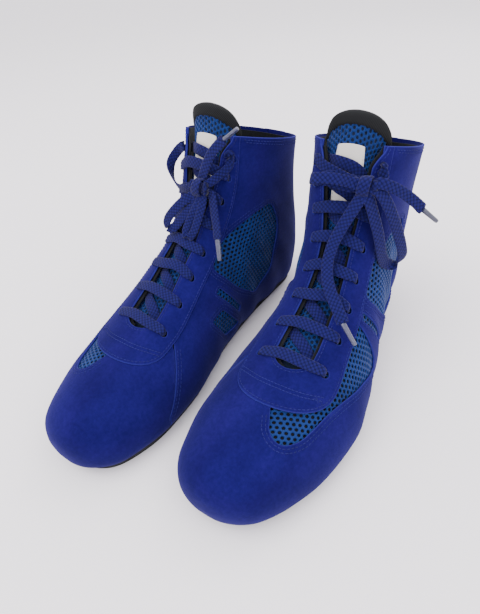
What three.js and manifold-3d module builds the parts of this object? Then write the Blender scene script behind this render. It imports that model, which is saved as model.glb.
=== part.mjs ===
// A pair of lace-up boxing boots: suede and air-mesh uppers on thin rubber soles, with padded
// tongues and flat laces tied in bows. Millimetres, +Z up, toes towards -Y. Each boot is drawn
// as a left boot (outer side at +X) and the right boot is its mirror copy. The bows differ.
import * as THREE from 'three';
import { mergeVertices } from 'three/addons/utils/BufferGeometryUtils.js';
import Module from 'manifold-3d';

const wasm = await Module();
wasm.setup();

// ---- driving dimensions ----
const BOOT_SPACING = 107.6;          // between the two boots' middles, across
const BOOT_STAGGER = 18.4;           // the left boot stands this far behind the right one
const TOE_OUT = THREE.MathUtils.degToRad(3.4);
const PAIR_SHIFT = [0, -6.3];        // brings the pair's box to the middle of the frame
const HEEL_TO_MIDDLE = 150;          // heel back to the boot's own origin

const GAP = 0.35;                    // between neighbouring pieces
const SOLE_THICKNESS = 4;
const COLLAR_FRONT = 168;            // height of the collar line above the instep
const COLLAR_DROP = 0.28;            // fall of the collar line per mm towards the heel

// layers of the upper, measured inwards from its outer face
const SUEDE = [0, -1.3];
const MIDDLE = [-1.65, -2.65];
const LINING = [-3.0, -3.9];
const LABEL = [-5.95, -6.45];
const TONGUE_MESH = [-7, -7.9];
const TONGUE_FOAM = [-8.3, -10.4];
const TONGUE_LINING = [-10.8, -11.6];
const BINDING = [-5.9, -12.5];
const THROUGH = [6, -9];             // a cutter that passes through every layer of the upper

const LACE_WIDTH = 8;
const LACE_THICKNESS = 1.2;
const LACE_IN_EYELET = 5;            // the lace is pinched to this width in an eyelet
const EYELET_RADIUS = 3.0;
const EYELET_ROWS = [6.95, 7.95, 8.95, 9.95, 10.95, 12, 13.1, 14.3];
const EYELET_INSET = 0.062;          // from the throat's edge, as a share of the half girth
const AGLET_RADIUS = 1.7;

// ---- the last: sections from the toe tip to above the collar ----
// front (or top) s, z; back (or bottom) s, z; half width; centre shift to the outer side;
// share of the depth at which the section is widest. s is measured forward from the heel.
const SECTIONS = [
  [288, 20, 288, 20, 0, -8.5, 0.5],
  [286, 30, 286, 10, 13, -8.5, 0.45],
  [280, 38, 280, 4, 25, -8.5, 0.42],
  [269, 43.5, 269, -2, 34, -8, 0.4],
  [254, 47, 254, -5, 41, -6, 0.38],
  [235, 50, 235, -6, 47, -3.5, 0.36],
  [213, 54, 213, -6, 50, -0.5, 0.34],
  [190, 61, 190, -6, 50.5, 2, 0.32],
  [168, 72, 165, -6, 47, 3.5, 0.32],
  [149, 84, 138, -6, 42.5, 4.5, 0.34],
  [133, 97, 108, -6, 39, 4, 0.38],
  [121, 114, 76, -6, 37, 3, 0.45],
  [113, 131, 42, -6, 36, 1.5, 0.5],
  [108, 147, 12, -4, 35.5, 0.5, 0.55],
  [105, 159, 1, 20, 35, 0, 0.58],
  [103, 167, -1, 48, 35, 0, 0.58],
  [102, 173, 4, 78, 35.5, 0, 0.56],
  [101, 179, 7, 108, 36.5, 0, 0.54],
  [100, 186, 7, 136, 37.5, 0, 0.52],
  [99, 194, 5, 160, 38.5, 0, 0.5],
  [98, 203, 3, 182, 39, 0, 0.5],
];
const LAST_SECTION = SECTIONS.length - 1;

// grid lines that every layer of the upper shares
const ROWS = [0, 0.5, 1.2, 2.2, 3.4, 4.8, 6.2, 7.4, 8.6, 9.8, 11, 12.2, 13.4, 14.6, 15.8, 17.4, 19.2];
const HALF_COLUMNS = [0, 0.08, 0.16, 0.25, 0.37, 0.5, 0.63, 0.76, 0.89];

function catmullRom(before, from, to, after, f) {
  return 0.5 * (2 * from + (to - before) * f + (2 * before - 5 * from + 4 * to - after) * f * f
    + (3 * from - before - 3 * to + after) * f * f * f);
}

// The outer face at section t (0 at the toe) and girth position v (0 on the top or front
// midline, 1 or -1 on the bottom or back midline, positive on the outer side).
function lastPoint(t, v) {
  const clamped = Math.min(Math.max(t, 0), LAST_SECTION - 1e-6);
  const index = Math.floor(clamped);
  const row = (k) => SECTIONS[Math.min(Math.max(index + k, 0), LAST_SECTION)];
  const value = (column) => catmullRom(row(-1)[column], row(0)[column], row(1)[column],
    row(2)[column], clamped - index);
  const [frontS, frontZ, backS, backZ, halfWidth, centre, widest] = [0, 1, 2, 3, 4, 5, 6].map(value);
  const bump = (middle, reach) => Math.exp(-(((t - middle) / reach) ** 2));
  const cosine = Math.cos(Math.PI * v);
  const sine = Math.sin(Math.PI * v);
  const roundness = cosine >= 0 ? 2 + 0.45 * bump(13.5, 2.2) : 2.3 + 0.45 * bump(12.5, 3);
  const along = Math.abs(cosine) ** (2 / roundness);
  const depth = cosine >= 0 ? widest + (1 - widest) * along : widest * (1 - along);
  const across = Math.sign(sine) * Math.abs(sine) ** (2 / roundness);
  return new THREE.Vector3(centre + halfWidth * across,
    HEEL_TO_MIDDLE - (backS + (frontS - backS) * depth), backZ + (frontZ - backZ) * depth);
}

function surfaceNormal(t, v) {
  if (t < 0.05) return new THREE.Vector3(0, -1, 0);
  const dt = 0.04;
  const dv = 0.01;
  const alongT = lastPoint(t + dt, v).sub(lastPoint(t - dt, v));
  const alongV = lastPoint(t, v + dv).sub(lastPoint(t, v - dv));
  return alongV.cross(alongT).normalize();
}

function offsetPoint(t, v, offset) {
  return lastPoint(t, v).addScaledVector(surfaceNormal(t, v), offset);
}

// ---- closed meshes and booleans ----
function geometryFromGrid(points, triangles) {
  const geometry = new THREE.BufferGeometry();
  const numbers = points.flatMap((p) => p.toArray());
  geometry.setAttribute('position', new THREE.Float32BufferAttribute(numbers, 3));
  geometry.setIndex(triangles.flat());
  return geometry;
}

function toSolid(source) {
  const bare = source.clone();
  bare.deleteAttribute('normal');
  bare.deleteAttribute('uv');
  const merged = mergeVertices(bare, 1e-4);
  const position = merged.attributes.position;
  const index = merged.index.array;
  const corner = (k) => new THREE.Vector3().fromBufferAttribute(position, k);
  const kept = [];
  let volume = 0;
  for (let k = 0; k < index.length; k += 3) {
    const [a, b, c] = [index[k], index[k + 1], index[k + 2]];
    if (a === b || b === c || a === c) continue;
    kept.push([a, b, c]);
    volume += corner(a).dot(corner(b).cross(corner(c)));
  }
  const outward = volume > 0 ? kept : kept.map(([a, b, c]) => [a, c, b]);
  const mesh = new wasm.Mesh({
    numProp: 3,
    vertProperties: new Float32Array(position.array),
    triVerts: new Uint32Array(outward.flat()),
  });
  return new wasm.Manifold(mesh);
}

function toGeometry(solid) {
  const mesh = solid.getMesh();
  const geometry = new THREE.BufferGeometry();
  geometry.setAttribute('position', new THREE.BufferAttribute(new Float32Array(mesh.vertProperties), 3));
  geometry.setIndex(new THREE.BufferAttribute(new Uint32Array(mesh.triVerts), 1));
  const flat = geometry.toNonIndexed();
  flat.computeVertexNormals();
  return flat;
}

// Girth positions once round the boot, from the top midline back to it.
const GIRTH = [...HALF_COLUMNS, 1, ...HALF_COLUMNS.slice(1).reverse().map((v) => -v)];
const girthPoints = (t, offset) => GIRTH.map((v) => offsetPoint(t, v, offset));

// A closed skin between two offsets, all the way round the boot, along the given rows.
function ringShell([outer, inner], rows) {
  const count = GIRTH.length;
  const points = [outer, inner].flatMap((offset) => rows.flatMap((t) => girthPoints(t, offset)));
  const at = (layer, i, j) => (layer * rows.length + i) * count + (j % count);
  const triangles = [];
  const quad = (a, b, c, d) => triangles.push([a, b, c], [a, c, d]);
  for (let i = 0; i < rows.length - 1; i += 1) {
    for (let j = 0; j < count; j += 1) {
      quad(at(0, i, j), at(0, i, j + 1), at(0, i + 1, j + 1), at(0, i + 1, j));
      quad(at(1, i, j), at(1, i + 1, j), at(1, i + 1, j + 1), at(1, i, j + 1));
    }
  }
  for (const i of rows[0] === 0 ? [rows.length - 1] : [0, rows.length - 1]) {
    for (let j = 0; j < count; j += 1) {
      const [a, b, c, d] = [at(0, i, j), at(0, i, j + 1), at(1, i, j + 1), at(1, i, j)];
      if (i === 0) quad(a, d, c, b);
      else quad(a, b, c, d);
    }
  }
  return toSolid(geometryFromGrid(points, triangles));
}

// The whole last at one offset, as a solid block from the toe tip to the last row.
function filledLast(offset, rows) {
  const count = GIRTH.length;
  const points = rows.flatMap((t) => girthPoints(t, offset));
  const end = rows.length - 1;
  points.push(offsetPoint(rows[end], 0, offset).lerp(offsetPoint(rows[end], 1, offset), 0.5));
  const triangles = [];
  for (let j = 0; j < count; j += 1) {
    const next = (j + 1) % count;
    for (let i = 0; i < end; i += 1) {
      const [a, b, c, d] = [i * count + j, i * count + next, (i + 1) * count + next, (i + 1) * count + j];
      triangles.push([a, b, c], [a, c, d]);
    }
    triangles.push([end * count + j, end * count + next, points.length - 1]);
  }
  return toSolid(geometryFromGrid(points, triangles));
}

// A closed slab between two offsets, over rows of [t, first v, last v].
function slab(rows, [outer, inner], columns = 8) {
  const points = [outer, inner].flatMap((offset) => rows.flatMap(([t, from, to]) => (
    Array.from({ length: columns + 1 }, (_, j) =>
      offsetPoint(t, from + ((to - from) * j) / columns, offset)))));
  const width = columns + 1;
  const at = (layer, i, j) => (layer * rows.length + i) * width + j;
  const triangles = [];
  const quad = (a, b, c, d) => triangles.push([a, b, c], [a, c, d]);
  const last = rows.length - 1;
  for (let i = 0; i < last; i += 1) {
    for (let j = 0; j < columns; j += 1) {
      quad(at(0, i, j), at(0, i, j + 1), at(0, i + 1, j + 1), at(0, i + 1, j));
      quad(at(1, i, j), at(1, i + 1, j), at(1, i + 1, j + 1), at(1, i, j + 1));
    }
    quad(at(0, i, 0), at(0, i + 1, 0), at(1, i + 1, 0), at(1, i, 0));
    quad(at(0, i, columns), at(1, i, columns), at(1, i + 1, columns), at(0, i + 1, columns));
  }
  for (let j = 0; j < columns; j += 1) {
    quad(at(0, 0, j), at(1, 0, j), at(1, 0, j + 1), at(0, 0, j + 1));
    quad(at(0, last, j), at(0, last, j + 1), at(1, last, j + 1), at(1, last, j));
  }
  return toSolid(geometryFromGrid(points, triangles));
}

// An outline of [s, z] seen from the side, pushed across from one x to another.
function sidePrism(outline, fromX, toX) {
  const shape = new THREE.Shape(outline.map(([s, z]) => new THREE.Vector2(HEEL_TO_MIDDLE - s, z)));
  const geometry = new THREE.ExtrudeGeometry(shape, { depth: toX - fromX, bevelEnabled: false });
  geometry.applyMatrix4(new THREE.Matrix4().set(0, 0, 1, fromX, 1, 0, 0, 0, 0, 1, 0, 0, 0, 0, 0, 1));
  return toSolid(geometry);
}

// An outline of [x, y] seen from above, pushed up from one z to another.
function planPrism(outline, fromZ, toZ) {
  const shape = new THREE.Shape(outline.map(([x, y]) => new THREE.Vector2(x, y)));
  const geometry = new THREE.ExtrudeGeometry(shape, { depth: toZ - fromZ, bevelEnabled: false });
  geometry.translate(0, 0, fromZ);
  return toSolid(geometry);
}

// Rows of a region with its edges moved outwards by the gap between pieces.
const GROW_V = 0.004;
const GROW_T = 0.02;
function grown(rows) {
  const last = rows.length - 1;
  return rows.map(([t, from, to], i) => [
    t + (i === 0 ? -GROW_T : 0) + (i === last ? GROW_T : 0), from - GROW_V, to + GROW_V]);
}

// ---- regions of the upper ----
const TOP_ROW = 19.8;
const BACKSTAY_EDGE = 0.93;

// U-shaped facing: round below the throat, then straight up both sides of it.
const FACING_HALF = 0.22;
const FACING_BEND = 6.6;
const FACING_REACH = 1.2;
function facingRows() {
  const bend = [1.19, 1.1, 0.9, 0.6, 0.3, 0].map((k) => FACING_BEND - k);
  const rows = bend.map((t) => {
    const half = FACING_HALF * Math.sqrt(1 - ((FACING_BEND - t) / FACING_REACH) ** 2);
    return [t, 0.01 - half, 0.01 + half];
  });
  const straight = [7.4, 9, 10.6, 12.2, 14, 16, 18, TOP_ROW];
  const half = (t) => FACING_HALF + 0.002 * (t - straight[0]);
  return [...rows, ...straight.map((t) => [t, -half(t), half(t)])];
}

// Half the throat's opening: narrow over the instep, wider where the wings part at the top.
function throatHalf(t) {
  if (t < 11) return 0.085;
  if (t < 14) return 0.085 + 0.04 * ((t - 11) / 3);
  return Math.min(0.125 + 0.04 * (t - 14), 0.2);
}
const THROAT_BOTTOM = 6.62;
function throatRows() {
  const round = [[0, 0.035], [0.12, 0.062], [0.35, 0.08]]
    .map(([k, half]) => [THROAT_BOTTOM + k, -half, half]);
  const rest = [7.4, 9, 11, 12.5, 14, 16, 18, TOP_ROW];
  return [...round, ...rest.map((t) => [t, -throatHalf(t), throatHalf(t)])];
}

// Curved window in the forefoot, from in front of the facing to the outer side.
const VAMP_WINDOW = [[4.6, 0.14, 0.165], [4.8, 0.09, 0.2], [5.1, 0.065, 0.222], [5.42, 0.05, 0.23],
  [5.7, 0.1, 0.236], [6.2, 0.15, 0.248], [6.9, 0.18, 0.29], [8, 0.18, 0.39], [8.8, 0.18, 0.45]];
const VAMP_PANEL = [[4.4, 0.1, 0.19], [5, 0.04, 0.25], [5.42, 0.03, 0.26], [6.2, 0.12, 0.28],
  [6.6, 0.18, 0.31], [6.9, 0.19, 0.33], [8, 0.19, 0.43], [8.85, 0.19, 0.49]];
const MEDIAL_QUARTER = [[5.4, -0.9, -0.47], [6.2, -0.9, -0.335], [7, -0.9, -0.2],
  ...[8.4, 10, 11.5, 12.6].map((t) => [t, -0.95, -0.2]),
  ...[13.6, 14.6, 16, 18, TOP_ROW].map((t) => [t, -BACKSTAY_EDGE, -0.2])];
const LATERAL_QUARTER = [[8.62, 0.2, 0.9], [9.4, 0.2, 0.95], [11, 0.2, 0.95], [12.6, 0.2, 0.95],
  ...[13.6, 14.6, 16, 18, TOP_ROW].map((t) => [t, 0.2, BACKSTAY_EDGE])];
const BACKSTAY = [12.3, 13, 13.6, 14.6, 15.6, 16.6, 18, TOP_ROW]
  .map((t) => [t, BACKSTAY_EDGE, 2 - BACKSTAY_EDGE]);

// side-view outlines, [s, z]
const ANKLE_WINDOW = [[131, 79], [126, 68], [112, 50], [92, 36], [74, 45], [62, 70], [61, 95], [72, 109],
  [96, 105], [118, 94]];
const ANKLE_PANEL = [[147, 74], [131, 86], [120, 98], [98, 109], [70, 113.5], [56.5, 97], [57.5, 69],
  [71, 41], [91, 31], [108, 34], [122, 34], [131, 38]];
const MEDIAL_ANKLE_PANEL = [[142, 66], [134, 81], [120, 98], [98, 109], [70, 113.5], [56.5, 97], [57.5, 69],
  [71, 41], [91, 31], [106, 32], [117, 29]];
const LATERAL_SLOT = [[141.5, 72], [145.5, 68], [131, 40], [126.5, 43]];
const MEDIAL_SLOT = [[135, 64], [139.5, 61], [120.5, 32], [116, 35]];
const MEDIAL_VAMP_WINDOW = [[155, 46], [139, 47], [123, 23], [143, 24]];
const MEDIAL_VAMP_PANEL = [[160, 50], [137, 51], [118, 19.5], [147, 20]];
const OUTER_SIDE = [14, 70];
const INNER_SIDE = [-70, -14];

const above = SOLE_THICKNESS + GAP;
const collarAt = (s) => COLLAR_FRONT - COLLAR_DROP * (98 - s);
const envelope = sidePrism([[320, above], [-20, above], [-20, collarAt(-20)], [320, collarAt(320)]], -90, 90);

// ---- the upper ----
const EYELET_DEPTH = 5;
function eyeletCutter(t, v) {
  const normal = surfaceNormal(t, v);
  const up = lastPoint(t + 0.1, v).sub(lastPoint(t - 0.1, v)).normalize();
  const geometry = new THREE.BoxGeometry(2 * EYELET_RADIUS, 2 * EYELET_RADIUS, EYELET_DEPTH);
  const frame = new THREE.Matrix4().makeBasis(up, normal.clone().cross(up), normal);
  geometry.applyMatrix4(frame.setPosition(lastPoint(t, v)));
  return toSolid(geometry);
}

const eyeletV = (t) => throatHalf(t) + EYELET_INSET;

function withEyelets(solid) {
  let cut = solid;
  for (const t of EYELET_ROWS) {
    cut = cut.subtract(eyeletCutter(t, eyeletV(t))).subtract(eyeletCutter(t, -eyeletV(t)));
  }
  return cut;
}

function suedePieces() {
  const shell = ringShell(SUEDE, ROWS).intersect(envelope);
  const facingCut = slab(grown(facingRows()), THROUGH, 10);
  const medialCut = slab(grown(MEDIAL_QUARTER), THROUGH, 10);
  const vampWindow = slab(VAMP_WINDOW, THROUGH, 4);
  const toeRing = ringShell(SUEDE, ROWS.filter((t) => t <= 8.6)).intersect(envelope);
  const facing = shell.intersect(slab(facingRows(), THROUGH, 10)).subtract(slab(throatRows(), THROUGH, 4));
  const lateral = shell.intersect(slab(LATERAL_QUARTER, THROUGH, 10)).subtract(facingCut)
    .subtract(sidePrism(ANKLE_WINDOW, ...OUTER_SIDE)).subtract(sidePrism(LATERAL_SLOT, ...OUTER_SIDE));
  const medial = shell.intersect(slab(MEDIAL_QUARTER, THROUGH, 10)).subtract(facingCut)
    .subtract(sidePrism(ANKLE_WINDOW, ...INNER_SIDE)).subtract(sidePrism(MEDIAL_SLOT, ...INNER_SIDE))
    .subtract(sidePrism(MEDIAL_VAMP_WINDOW, ...INNER_SIDE));
  const stayRows = BACKSTAY.map(([t, from, to]) => [t, from + GROW_V, to - GROW_V]);
  return {
    toe_piece: toeRing.subtract(facingCut).subtract(medialCut).subtract(vampWindow),
    facing: withEyelets(facing),
    quarter_lateral: lateral,
    quarter_medial: medial,
    backstay: shell.intersect(slab(stayRows, THROUGH, 6)),
  };
}

function middlePieces() {
  const shell = ringShell(MIDDLE, ROWS).intersect(envelope);
  const medialAnkle = sidePrism(MEDIAL_ANKLE_PANEL, ...INNER_SIDE);
  return {
    vamp_mesh_lateral: shell.intersect(slab(VAMP_PANEL, THROUGH, 4)),
    vamp_mesh_medial: shell.intersect(sidePrism(MEDIAL_VAMP_PANEL, ...INNER_SIDE))
      .subtract(medialAnkle.translate([0, -1.5, -1.5])).subtract(medialAnkle),
    ankle_mesh_lateral: shell.intersect(sidePrism(ANKLE_PANEL, ...OUTER_SIDE)),
    ankle_mesh_medial: shell.intersect(medialAnkle),
    toe_puff: shell.intersect(sidePrism([[253, 0], [320, 0], [320, 80], [253, 80]], -90, 90)),
    heel_counter: shell.intersect(sidePrism([[-20, 0], [50, 0], [50, 40], [40, 52], [-20, 52]], -90, 90)),
  };
}

// The lining stops just outside the eyelet rows.
const LINING_INSET = 0.095;
function liningPieces() {
  const turnedBack = throatRows().map(([t, from, to]) => [t, from - LINING_INSET, to + LINING_INSET]);
  const cut = ringShell(LINING, ROWS.filter((t) => t > 6)).intersect(envelope)
    .subtract(slab(turnedBack, THROUGH, 4));
  const side = [[-30, -10], [330, -10], [330, 260], [-30, 260]];
  return {
    lining_lateral: cut.intersect(sidePrism(side, GAP / 2, 90)),
    lining_medial: cut.intersect(sidePrism(side, -90, -GAP / 2)),
  };
}

// ---- the bottom ----
// The outline at height z of the last grown or shrunk by an offset, as [x, y] points.
const OUTLINE_SECTIONS = [1.6, 1.9, 2.5, 3.4, 4.8, 6.2, 7.4, 8.6, 9.8, 11, 12.2, 12.8, 13.1, 13.3];
function soleOutline(offset, z) {
  const edge = (t, side) => {
    let low = 0.4;
    let high = 1;
    for (let k = 0; k < 24; k += 1) {
      const middle = (low + high) / 2;
      if (offsetPoint(t, side * middle, offset).z > z) low = middle;
      else high = middle;
    }
    const point = offsetPoint(t, side * low, offset);
    return [point.x, point.y];
  };
  const tipAt = (t0, t1) => {
    let [inside, outside] = [t0, t1];
    for (let k = 0; k < 24; k += 1) {
      const middle = (inside + outside) / 2;
      if (offsetPoint(middle, 1, offset).z < z) inside = middle;
      else outside = middle;
    }
    const point = offsetPoint(inside, 1, offset);
    return [point.x, point.y];
  };
  const outer = OUTLINE_SECTIONS.map((t) => edge(t, 1));
  const inner = OUTLINE_SECTIONS.map((t) => edge(t, -1)).reverse();
  return [tipAt(4, 0.5), ...outer, tipAt(12, 15), ...inner];
}

function bottomPieces() {
  const boardTop = above + 1.5;
  const block = [[-160, -170], [160, -170], [160, 170], [-160, 170]];
  const inside = filledLast(LINING[1] - GAP, ROWS);
  return {
    outsole: planPrism(soleOutline(0.6, 6), 0, SOLE_THICKNESS),
    lasting_board: inside.intersect(planPrism(block, above, boardTop)),
    sockliner: inside.intersect(planPrism(block, boardTop + GAP, boardTop + GAP + 2.5)),
  };
}

// ---- the tongue ----
const TONGUE_ROWS = [[6.1, 0.09], [6.6, 0.125], [7.6, 0.155], [8.7, 0.18], [9.8, 0.2], [11, 0.22],
  [12.2, 0.235], [13.4, 0.245], [14.8, 0.25], [16.4, 0.25], [17.1, 0.22], [17.6, 0.16], [17.85, 0.08]];
const TONGUE_COLUMNS = 4;
const BINDING_ROWS = [[16.7, 0.275], [17.3, 0.25], [17.8, 0.19], [18.1, 0.1], [18.2, 0.04]];
const LABEL_ROWS = [12, 12.8, 13.6, 14.4, 15.2].map((t) => [t, -0.082, 0.078]);

function tonguePieces() {
  const layer = (offsets, inset) => slab(TONGUE_ROWS.map(([t, half], i) => {
    const end = i === 0 ? inset : (i === TONGUE_ROWS.length - 1 ? -inset : 0);
    return [t + 4 * end, -half + inset, half - inset];
  }), offsets, TONGUE_COLUMNS);
  const roomRows = TONGUE_ROWS.map(([t, half], i) => {
    const rise = i === TONGUE_ROWS.length - 1 ? 0.06 : 0;
    return [t + rise, -half - 0.008, half + 0.008];
  });
  const room = slab(roomRows, [TONGUE_MESH[0] + GAP, TONGUE_LINING[1] - GAP], TONGUE_COLUMNS);
  const cap = slab(BINDING_ROWS.map(([t, half]) => [t, -half, half]), BINDING, TONGUE_COLUMNS);
  return {
    tongue_mesh: layer(TONGUE_MESH, 0),
    tongue_foam: layer(TONGUE_FOAM, 0.01),
    tongue_lining: layer(TONGUE_LINING, 0),
    tongue_binding: cap.subtract(room),
    tongue_label: slab(LABEL_ROWS, LABEL, 4),
  };
}

// ---- laces ----
// A flat braid along a route of { at, width, flat }: flat is the direction of its width.
const HELD_SECTION = [[1, 1], [-1, 1], [-1, -1], [1, -1]];
const FREE_SECTION = [[1, 0.4], [0.7, 1], [-0.7, 1], [-1, 0.4], [-1, -0.4], [-0.7, -1], [0.7, -1], [1, -0.4]];
function ribbon(stops, section) {
  const points = [];
  const count = stops.length;
  const sides = section.length;
  stops.forEach((stop, i) => {
    const before = stops[Math.max(i - 1, 0)].at;
    const after = stops[Math.min(i + 1, count - 1)].at;
    const tangent = after.clone().sub(before).normalize();
    const across = stop.flat.clone().addScaledVector(tangent, -stop.flat.dot(tangent)).normalize();
    const normal = tangent.clone().cross(across);
    const [halfWidth, halfThick] = [stop.width / 2, LACE_THICKNESS / 2];
    for (const [a, b] of section) {
      const corner = stop.at.clone().addScaledVector(across, a * halfWidth);
      points.push(corner.addScaledVector(normal, b * halfThick));
    }
  });
  const triangles = [];
  for (let i = 0; i < count - 1; i += 1) {
    for (let j = 0; j < sides; j += 1) {
      const [a, b] = [i * sides + j, i * sides + ((j + 1) % sides)];
      triangles.push([a, b, b + sides], [a, b + sides, a + sides]);
    }
  }
  for (let j = 1; j < sides - 1; j += 1) {
    triangles.push([0, j + 1, j]);
    const end = (count - 1) * sides;
    triangles.push([end, end + j, end + j + 1]);
  }
  return toSolid(geometryFromGrid(points, triangles));
}

const local = ([x, s, z]) => new THREE.Vector3(x, HEEL_TO_MIDDLE - s, z);

// A stop on the upper's face: section, girth position, height above the face, lace width.
function onFace(t, v, height, width) {
  const up = lastPoint(t + 0.1, v).sub(lastPoint(t - 0.1, v)).normalize();
  return { at: offsetPoint(t, v, height), width, flat: up };
}

// The same for a lace that runs up the boot, so that its width lies across.
function alongFace(t, v, height, width) {
  const across = lastPoint(t, v + 0.02).sub(lastPoint(t, v - 0.02)).normalize();
  return { at: offsetPoint(t, v, height), width, flat: across };
}

const BAR_HEIGHT = 2.5;
const UNDER_HEIGHT = -5.1;
// Through one eyelet, from above the facing to under the lining, on the given side.
function throughEyelet(t, side) {
  const v = eyeletV(t);
  return [[v - 0.03, BAR_HEIGHT, 7], [v - 0.006, 2.3, 5.2], [v + 0.002, -0.8, LACE_IN_EYELET],
    [v - 0.003, -3.6, LACE_IN_EYELET], [v - 0.032, UNDER_HEIGHT, 7]]
    .map(([position, height, width]) => onFace(t, side * position, height, width));
}

// The lace between the eyelets: a bar over the throat at each row, then a diagonal under the
// facings to the next row up. The other end runs up under the facing to the top eyelet.
function laceStops(firstSide, freeEnds) {
  const stops = [];
  const top = EYELET_ROWS.length - 1;
  const farSide = -firstSide;
  const runV = (t) => farSide * (eyeletV(t) + 0.075);
  const runDown = [13.5, 12.6, 11.6, 10.6, 9.6, 8.6, 7.8, 7.1]
    .map((t) => alongFace(t, runV(t), UNDER_HEIGHT - 0.7, 7));
  const start = throughEyelet(EYELET_ROWS[top], farSide).slice(0, 3);
  const bend = onFace(14.2, farSide * (eyeletV(14.3) + 0.012), -5.4, LACE_IN_EYELET);
  stops.push(...freeEnds.far, ...start, bend, ...runDown);
  const hub = lastPoint(7.4, 0.02 * farSide);
  for (const [t, v] of [[6.62, 0.16], [6.4, 0.1], [6.33, 0], [6.42, -0.08]]) {
    const stop = onFace(t, farSide * v, UNDER_HEIGHT, 6);
    const outwards = lastPoint(t, farSide * v).sub(hub);
    stops.push({ ...stop, flat: outwards.projectOnPlane(surfaceNormal(t, farSide * v)).normalize() });
  }
  stops.push(...throughEyelet(EYELET_ROWS[0], firstSide).reverse().slice(1));
  for (let i = 0; i < top; i += 1) {
    const t = EYELET_ROWS[i];
    const next = EYELET_ROWS[i + 1];
    const half = throatHalf(t);
    stops.push(onFace(t, firstSide * half * 0.5, 1.6, LACE_WIDTH));
    stops.push(onFace(t, farSide * half * 0.5, 1.6, LACE_WIDTH));
    stops.push(...throughEyelet(t, farSide));
    stops.push(onFace(t + (next - t) * 0.38, farSide * half * 0.35, -3.2, LACE_WIDTH));
    stops.push(onFace(t + (next - t) * 0.62, firstSide * half * 0.35, -3.2, LACE_WIDTH));
    stops.push(...throughEyelet(next, firstSide).reverse());
  }
  stops.push(...freeEnds.near);
  return stops;
}

// Routes by hand, [x, s, z] in the boot's own measures, with the direction of the lace's width.
const freeStops = (route, [x, s, z], width = LACE_WIDTH) => route
  .map((at) => ({ at: local(at), width, flat: new THREE.Vector3(x, -s, z) }));

const BOWS = {
  left: {
    firstSide: -1,
    knot: { at: [15.5, 114, 148], size: [8, 5, 6.5] },
    near: freeStops([[-15, 105, 153.5], [-2, 109, 150.5], [6.5, 111.5, 149]], [0.1, -0.35, 1], 7),
    far: freeStops([[23, 109.5, 148], [25, 104.5, 149]], [0, -0.4, 1], 6),
    loop_a: { flat: [0, -0.45, 0.9], width: 7,
      route: [[6.5, 116.5, 150.5], [0, 120.5, 153], [-8, 123.5, 154], [-14, 124, 153], [-17, 122.3, 151.6],
        [-17.5, 119.8, 150.4], [-15, 117.8, 149.8], [-9, 117, 149.5], [-1, 115.6, 148], [6.3, 114, 146.5]] },
    loop_b: { flat: [0.35, 0.8, 0.45], width: 8,
      route: [[24, 113, 146.5], [30, 112, 139], [35, 110.5, 129], [39.5, 107.5, 117], [43, 104, 105],
        [44.3, 101, 96], [42.5, 100, 90.5], [38.5, 102.5, 88.5], [35, 107, 91.5], [33, 111.5, 98],
        [31.5, 114.5, 107], [28.5, 116, 119], [24.5, 116.5, 130], [20.5, 116, 139.5]] },
    tail_a: { flat: [0.25, -0.5, 0.85], width: 7,
      route: [[24.2, 113, 151], [29.5, 110.5, 149.2], [35.5, 107, 145.5], [41, 103.5, 141],
        [46, 100.8, 136.3], [50, 98.8, 132]] },
    aglet_a: [[50.4, 98.2, 131.5], [60, 94.4, 123]],
    tail_b: { flat: [1, 0.1, 0], width: 8,
      route: [[14, 117.5, 140.5], [10.5, 121, 132], [6, 126, 121], [3.4, 131, 111.5], [3, 136.5, 103.5],
        [5, 142.5, 97], [9, 149, 92], [14.5, 155, 87.5], [20.5, 160.5, 83], [25, 164.5, 78.5]] },
    aglet_b: [[25.4, 164.9, 78], [36.5, 172, 69.5]],
  },
  right: {
    firstSide: 1,
    knot: { at: [-7, 120, 136.5], size: [7.5, 5, 6.5] },
    near: freeStops([[28, 101.5, 150.5], [32.5, 105.5, 142.5], [29, 110, 134.5], [19, 115, 130],
      [9.5, 118.5, 131.5], [2, 119.5, 134]], [0.35, 0.2, 0.9], 7),
    far: freeStops([[-14.6, 116.5, 140], [-18, 109.5, 143.5], [-22.5, 102.5, 149]], [0.55, 0.4, 0.8], 6),
    loop_a: { flat: [0.1, 0.85, 0.5], width: 7,
      route: [[-1.3, 121.5, 130], [4.5, 125.5, 126], [11, 129.5, 119.5], [16.5, 132.5, 112.5],
        [18.3, 133.9, 107.5], [16.5, 134.5, 104.3], [12.8, 133.9, 104.6], [9, 131.6, 108.5],
        [4, 128.3, 115.5], [-1.5, 124.5, 122.3], [-4.4, 122.3, 126.6]] },
    loop_b: { flat: [0.35, 0.85, 0.45], width: 6,
      route: [[-8, 121.5, 128.4], [-4.5, 126, 119.5], [-1, 129.5, 111], [0.8, 132.2, 104.5],
        [-0.6, 133.6, 101], [-4, 133.6, 101.6], [-7, 131.4, 106.5], [-9, 127.8, 114.5],
        [-10.2, 123.6, 122.5], [-10.4, 121.3, 127.4]] },
    tail_a: { flat: [1, 0, 0.4], width: 7,
      route: [[-8, 116.5, 142], [-10, 115.5, 148], [-13, 114, 155], [-17, 112.3, 161.5],
        [-21.5, 110.6, 166.5], [-25, 109.4, 169.5]] },
    aglet_a: [[-25.6, 109.2, 170], [-35, 106, 177.5]],
    tail_b: { flat: [0.9, 0.1, -0.4], width: 7,
      route: [[-15.6, 117, 131], [-18, 119, 125], [-20.5, 121.5, 117.5], [-23.5, 124.5, 110],
        [-26, 127.5, 103.5]] },
    aglet_b: [[-26.3, 127.9, 102.9], [-32, 134.5, 90]],
  },
};

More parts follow.
